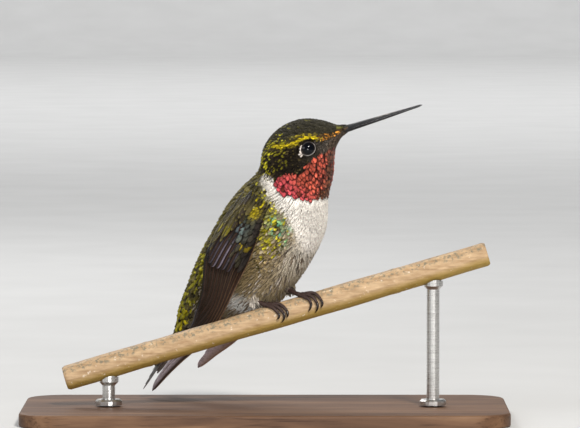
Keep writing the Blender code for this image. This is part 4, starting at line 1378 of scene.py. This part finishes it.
def add_coverts(name, side, material):
    """Rows of scales over the arm, from tiny dots at the bend to long ones over the flight feathers."""
    lead, trail = partial(value, WING_LEAD), partial(value, WING_TRAIL)
    # rows of x, size, length, and y from and to
    rows = [(x, 0.50, 0.9, lead(x) + 0.15, 3.6) for x in np.arange(-1.0, 1.6, 0.40)]
    rows += [(x, 0.85, 1.7, lead(x) + 0.2, trail(x) - 0.6) for x in np.arange(1.2, 3.6, 0.60)]
    rows += [(x, 1.05, 2.6, lead(x) + 0.3, trail(x) - 0.8) for x in (3.3, 4.1, 4.8)]
    rows += [(5.2, 1.25, 3.3, lead(5.2) + 0.5, 5.6)]
    rows += [(x, size, 3.0, lead(x) + 0.2, high) for x, size, high in ((6.4, 0.80, 0.4), (7.6, 0.75, -0.2),
                                                                       (8.7, 0.75, -0.7))]
    roots = []
    for x, size, length, low, high in rows:
        count = max(2, int((high - low) / (size * 0.80)))
        y = np.linspace(low, high, count) + RNG.normal(0, 0.06 * size, count)
        roots.append(np.column_stack([x + RNG.normal(0, 0.12 * size, count), y, np.full(count, size),
                                      np.full(count, length)]))
    x, y, size, length = np.vstack(roots).T
    surface, style = wing_surface(side), Style(lift=0.16, scatter=0.07, above=0.42, uneven=0.26, rim=0.65)
    at, over, z = vanes_on(surface, ROUND, -x, y, -0.09 * (y - 0.5) / 4.0, length, size * 1.08, 0.12, style)
    points = surface(at, over, z - 0.02 * np.maximum(x, 0.0)[:, None])
    tints, gloss = dress(ROUND, covert_paint(x + length * 0.75, y), 0.3, style)
    assemble(f"coat_coverts_{name}", ROUND, points, tints, gloss, wing_place(side, x, y), PATCH, material,
             "back_feathers")


def add_scapulars(name, side, material):
    """Long shoulder feathers with golden fringes over the wing's rear edge."""
    roots = []
    for x, low in SCAPULARS:
        y = np.arange(low, value(WING_TRAIL, x + 2.5) - 0.2, 0.55)
        roots.append(np.column_stack([x + RNG.normal(0, 0.2, len(y)), y + RNG.normal(0, 0.08, len(y))]))
    x, y = np.vstack(roots).T
    surface = wing_surface(side)
    style = Style(lift=0.14, scatter=0.08, above=0.86, uneven=0.30, rim=0.8, rim_from=(0.60, 0.9),
                  rim_colour=(0.20, 0.165, 0.045), base=0.5)
    length = 2.8 + 0.18 * np.maximum(x, 0)
    at, over, z = vanes_on(surface, CONTOUR, -x, y, -0.10 - 0.16 * smooth(x, 4, 9), length, 0.95, 0.10, style)
    lit = RNG.random(len(x))[:, None]
    colour = np.where(lit < 0.12, SCAPULAR_LIT, np.where(lit > 0.72, SCAPULAR_DARK, SCAPULAR))
    tints, gloss = dress(CONTOUR, colour, 0.25, style)
    points, places = surface(at, over, z), wing_place(side, x, y)
    assemble(f"coat_scapulars_{name}", CONTOUR, points, tints, gloss, places, PATCH, material,
             "back_feathers")


def add_wings():
    """Both folded wings: flight feathers, coverts, and the shoulder feathers over them."""
    vane = feather_material("Flight feathers", 0.45, 0.12, 420.0)
    scale = feather_material("Covert feathers", 0.42, 0.20, 120.0)
    for name, side in SIDES.items():
        # the far wing's tip sheen is painted 2.9 times brighter: painted light that lifts it out of its shade
        shorter, painted_tip_light = (0.0, PRIMARY_TIP_SHEEN) if side < 0 else (2.0, PRIMARY_TIP_SHEEN * 2.9)
        place = partial(on_wing, side)
        flight_feathers(f"primaries_{name}", primary_specs(shorter), place, vane, [f"wing_{name}_primaries"],
                        tip_sheen=painted_tip_light)
        flight_feathers(f"secondaries_{name}", secondary_specs(), place, vane, [f"wing_{name}_secondaries"],
                        rim_from=(0.35, 0.90), rim_along=(0.25, 0.65))
        add_coverts(name, side, scale)
        add_scapulars(name, side, scale)


def add_tail():
    vane = feather_material("Tail feathers", 0.45, 0.20, 420.0)
    for name, side in SIDES.items():
        flight_feathers(f"rectrices_{name}", tail_specs(side), on_tail, vane, [f"tail_{name}"])


# ---------------------------------------------------------------- perch and stand

def add_perch():
    """The cane with swollen joints, fine ribs and two dry cut ends."""
    rows, around, ribs = 420, 96, 12
    along = np.linspace(*PERCH_ENDS, rows)[:, None]
    turn = np.linspace(0, 360, around, endpoint=False)[None, :]
    swell = sum(0.09 * bell(along, joint, 0.9) - 0.05 * bell(along, joint + 0.5, 0.22)
                for joint in PERCH_JOINTS)
    bend = 0.05 * np.sin(along / 7.0) + 0.03 * np.sin(along / 2.3 + 1.0)
    phases, waves = RNG.uniform(0, 2 * pi, ribs), RNG.integers(5, 30, ribs)
    ribbed = 0.006 * sum(np.sin(np.radians(turn) * wave + phase + 0.15 * np.sin(along / 3 + phase))
                         for wave, phase in zip(waves, phases))
    round_off = -0.22 * smooth(np.minimum(along - PERCH_ENDS[0], PERCH_ENDS[1] - along), 0.5, 0.0)
    height = swell + bend + round_off + ribbed + RNG.normal(0, 0.006, (rows, around))
    points = on_perch(along, turn, height).reshape(-1, 3)
    centres = [on_perch(end, 0.0, -PERCH_RADIUS) for end in (PERCH_ENDS[0] + 0.25, PERCH_ENDS[1] - 0.25)]
    upward = np.r_[np.tile(np.cos(np.radians(turn[0])) * 0.5 + 0.5, rows), 0.5, 0.5]
    new_piece("cane", np.vstack([points, *centres]),
              [grid_faces(rows, around, closed=True)[:, ::-1], end_cones(rows, around, flip=True)],
              cane_material(), "cane", ["perch"], {"Turn": upward})


def add_base():
    """A rounded board with softened edges, the size of the part's base."""
    low, high = (np.array(corner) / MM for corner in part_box("stand_base"))
    corner, rounding = 7.0, 0.5
    top, bottom = high[2], low[2]
    profile = [(0.25, bottom), (0.0, bottom + 0.25)]
    for turn in np.linspace(0.0, pi / 2, 8):
        profile.append((rounding * (1 - cos(turn)), top - rounding * (1 - sin(turn))))
    rings = []
    for inset, z in profile:
        for cx, cy, start in ((1, 1, 0), (-1, 1, 90), (-1, -1, 180), (1, -1, 270)):
            for turn in np.radians(np.linspace(start, start + 90, 25)):
                rings.append((cx * (high[0] - corner) + (corner - inset) * cos(turn),
                              cy * (high[1] - corner) + (corner - inset) * sin(turn), z))
    around = len(rings) // len(profile)
    ring = np.arange(around)
    faces = [grid_faces(len(profile), around, closed=True), ring[None, ::-1],
             (ring + (len(profile) - 1) * around)[None]]
    board = new_piece("base_board", np.array(rings), faces, wood_material(), "base_wood", ["stand_base"])
    board.data.set_sharp_from_angle(angle=radians(30))


def finish_rods():
    """The rods are shown as the part has them, in steel."""
    steel = steel_material()
    for name in ("stand_rod_left", "stand_rod_right"):
        materials = bpy.data.objects[name].data.materials
        materials.clear()
        materials.append(steel)


# ---------------------------------------------------------------- camera, floor and light

FRAME_WIDTH = 100.0      # millimetres across the picture at the bird
DISTANCE = 900.0
CAMERA_RISE = radians(3.0)
AIM = np.array([4.31, -3.0, 35.7])
DAYLIGHT, WORLD_STRENGTH = (0.93, 0.95, 1.0, 1.0), 0.20


def add_camera():
    data = bpy.data.cameras.new("camera")
    data.sensor_width = 36.0
    data.lens = data.sensor_width * DISTANCE / FRAME_WIDTH
    data.clip_start, data.clip_end = 0.05, 20.0
    camera = link("camera", data)
    back = Vector((0.0, -cos(CAMERA_RISE), sin(CAMERA_RISE)))
    camera.location = (Vector(AIM) + back * DISTANCE) * MM
    camera.rotation_euler = (-back).to_track_quat("-Z", "Y").to_euler()
    bpy.context.scene.camera = camera


def add_stage():
    """A plain pale floor that curves up behind the bird."""
    profile = [(-4000.0, 0.0), (-600.0, 0.0), (1500.0, 0.0)]
    profile += [(2800.0 + 500.0 * sin(a), 500.0 * (1 - cos(a))) for a in np.linspace(0, pi / 2, 24)]
    profile += [(3300.0, 3000.0)]
    corners = np.array([(x, y, z) for y, z in profile for x in (-5000.0, 5000.0)])
    mesh = bpy.data.meshes.new("floor")
    mesh.from_pydata((corners * MM).tolist(), [], grid_faces(len(profile), 2).tolist())
    mesh.shade_smooth()
    mesh.materials.append(floor_material())
    link("floor", mesh)


def area_light(name, place, size, power, colour=(1.0, 1.0, 1.0), aim=(0.0, 0.0, 35.0)):
    """A round soft box at a place in millimetres, turned to the bird or to another aim."""
    data = bpy.data.lights.new(name, "AREA")
    data.shape, data.size, data.energy, data.color = "DISK", size * MM, power, colour
    light = link(name, data)
    light.location = Vector(place) * MM
    light.rotation_euler = (Vector(aim) * MM - light.location).to_track_quat("-Z", "Y").to_euler()


def add_light():
    area_light("key", (200.0, -560.0, 560.0), 130.0, 6.8, (1.0, 0.965, 0.91))
    area_light("fill", (-480.0, -300.0, 240.0), 300.0, 0.9, (0.92, 0.96, 1.0))
    area_light("rim", (-250.0, 420.0, 420.0), 240.0, 1.6)
    area_light("front", (60.0, -800.0, 70.0), 260.0, 2.6)
    area_light("wash", (0.0, 1400.0, 1900.0), 1600.0, 50.0, aim=(0.0, 3000.0, 400.0))
    world = bpy.data.worlds.new("world")
    world.use_nodes = True
    world.node_tree.nodes["Background"].inputs["Color"].default_value = DAYLIGHT
    world.node_tree.nodes["Background"].inputs["Strength"].default_value = WORLD_STRENGTH
    bpy.context.scene.world = world


bpy.context.scene.view_settings.view_transform = "Standard"
COVER = WingCover()
EYES = {name: Eye(name, side) for name, side in SIDES.items()}
for add in (add_camera, add_stage, add_light, add_skin, add_eyes, add_bill, add_head_coat, add_body_coat,
            add_wings, add_tail, add_perch, add_base, finish_rods):
    add()
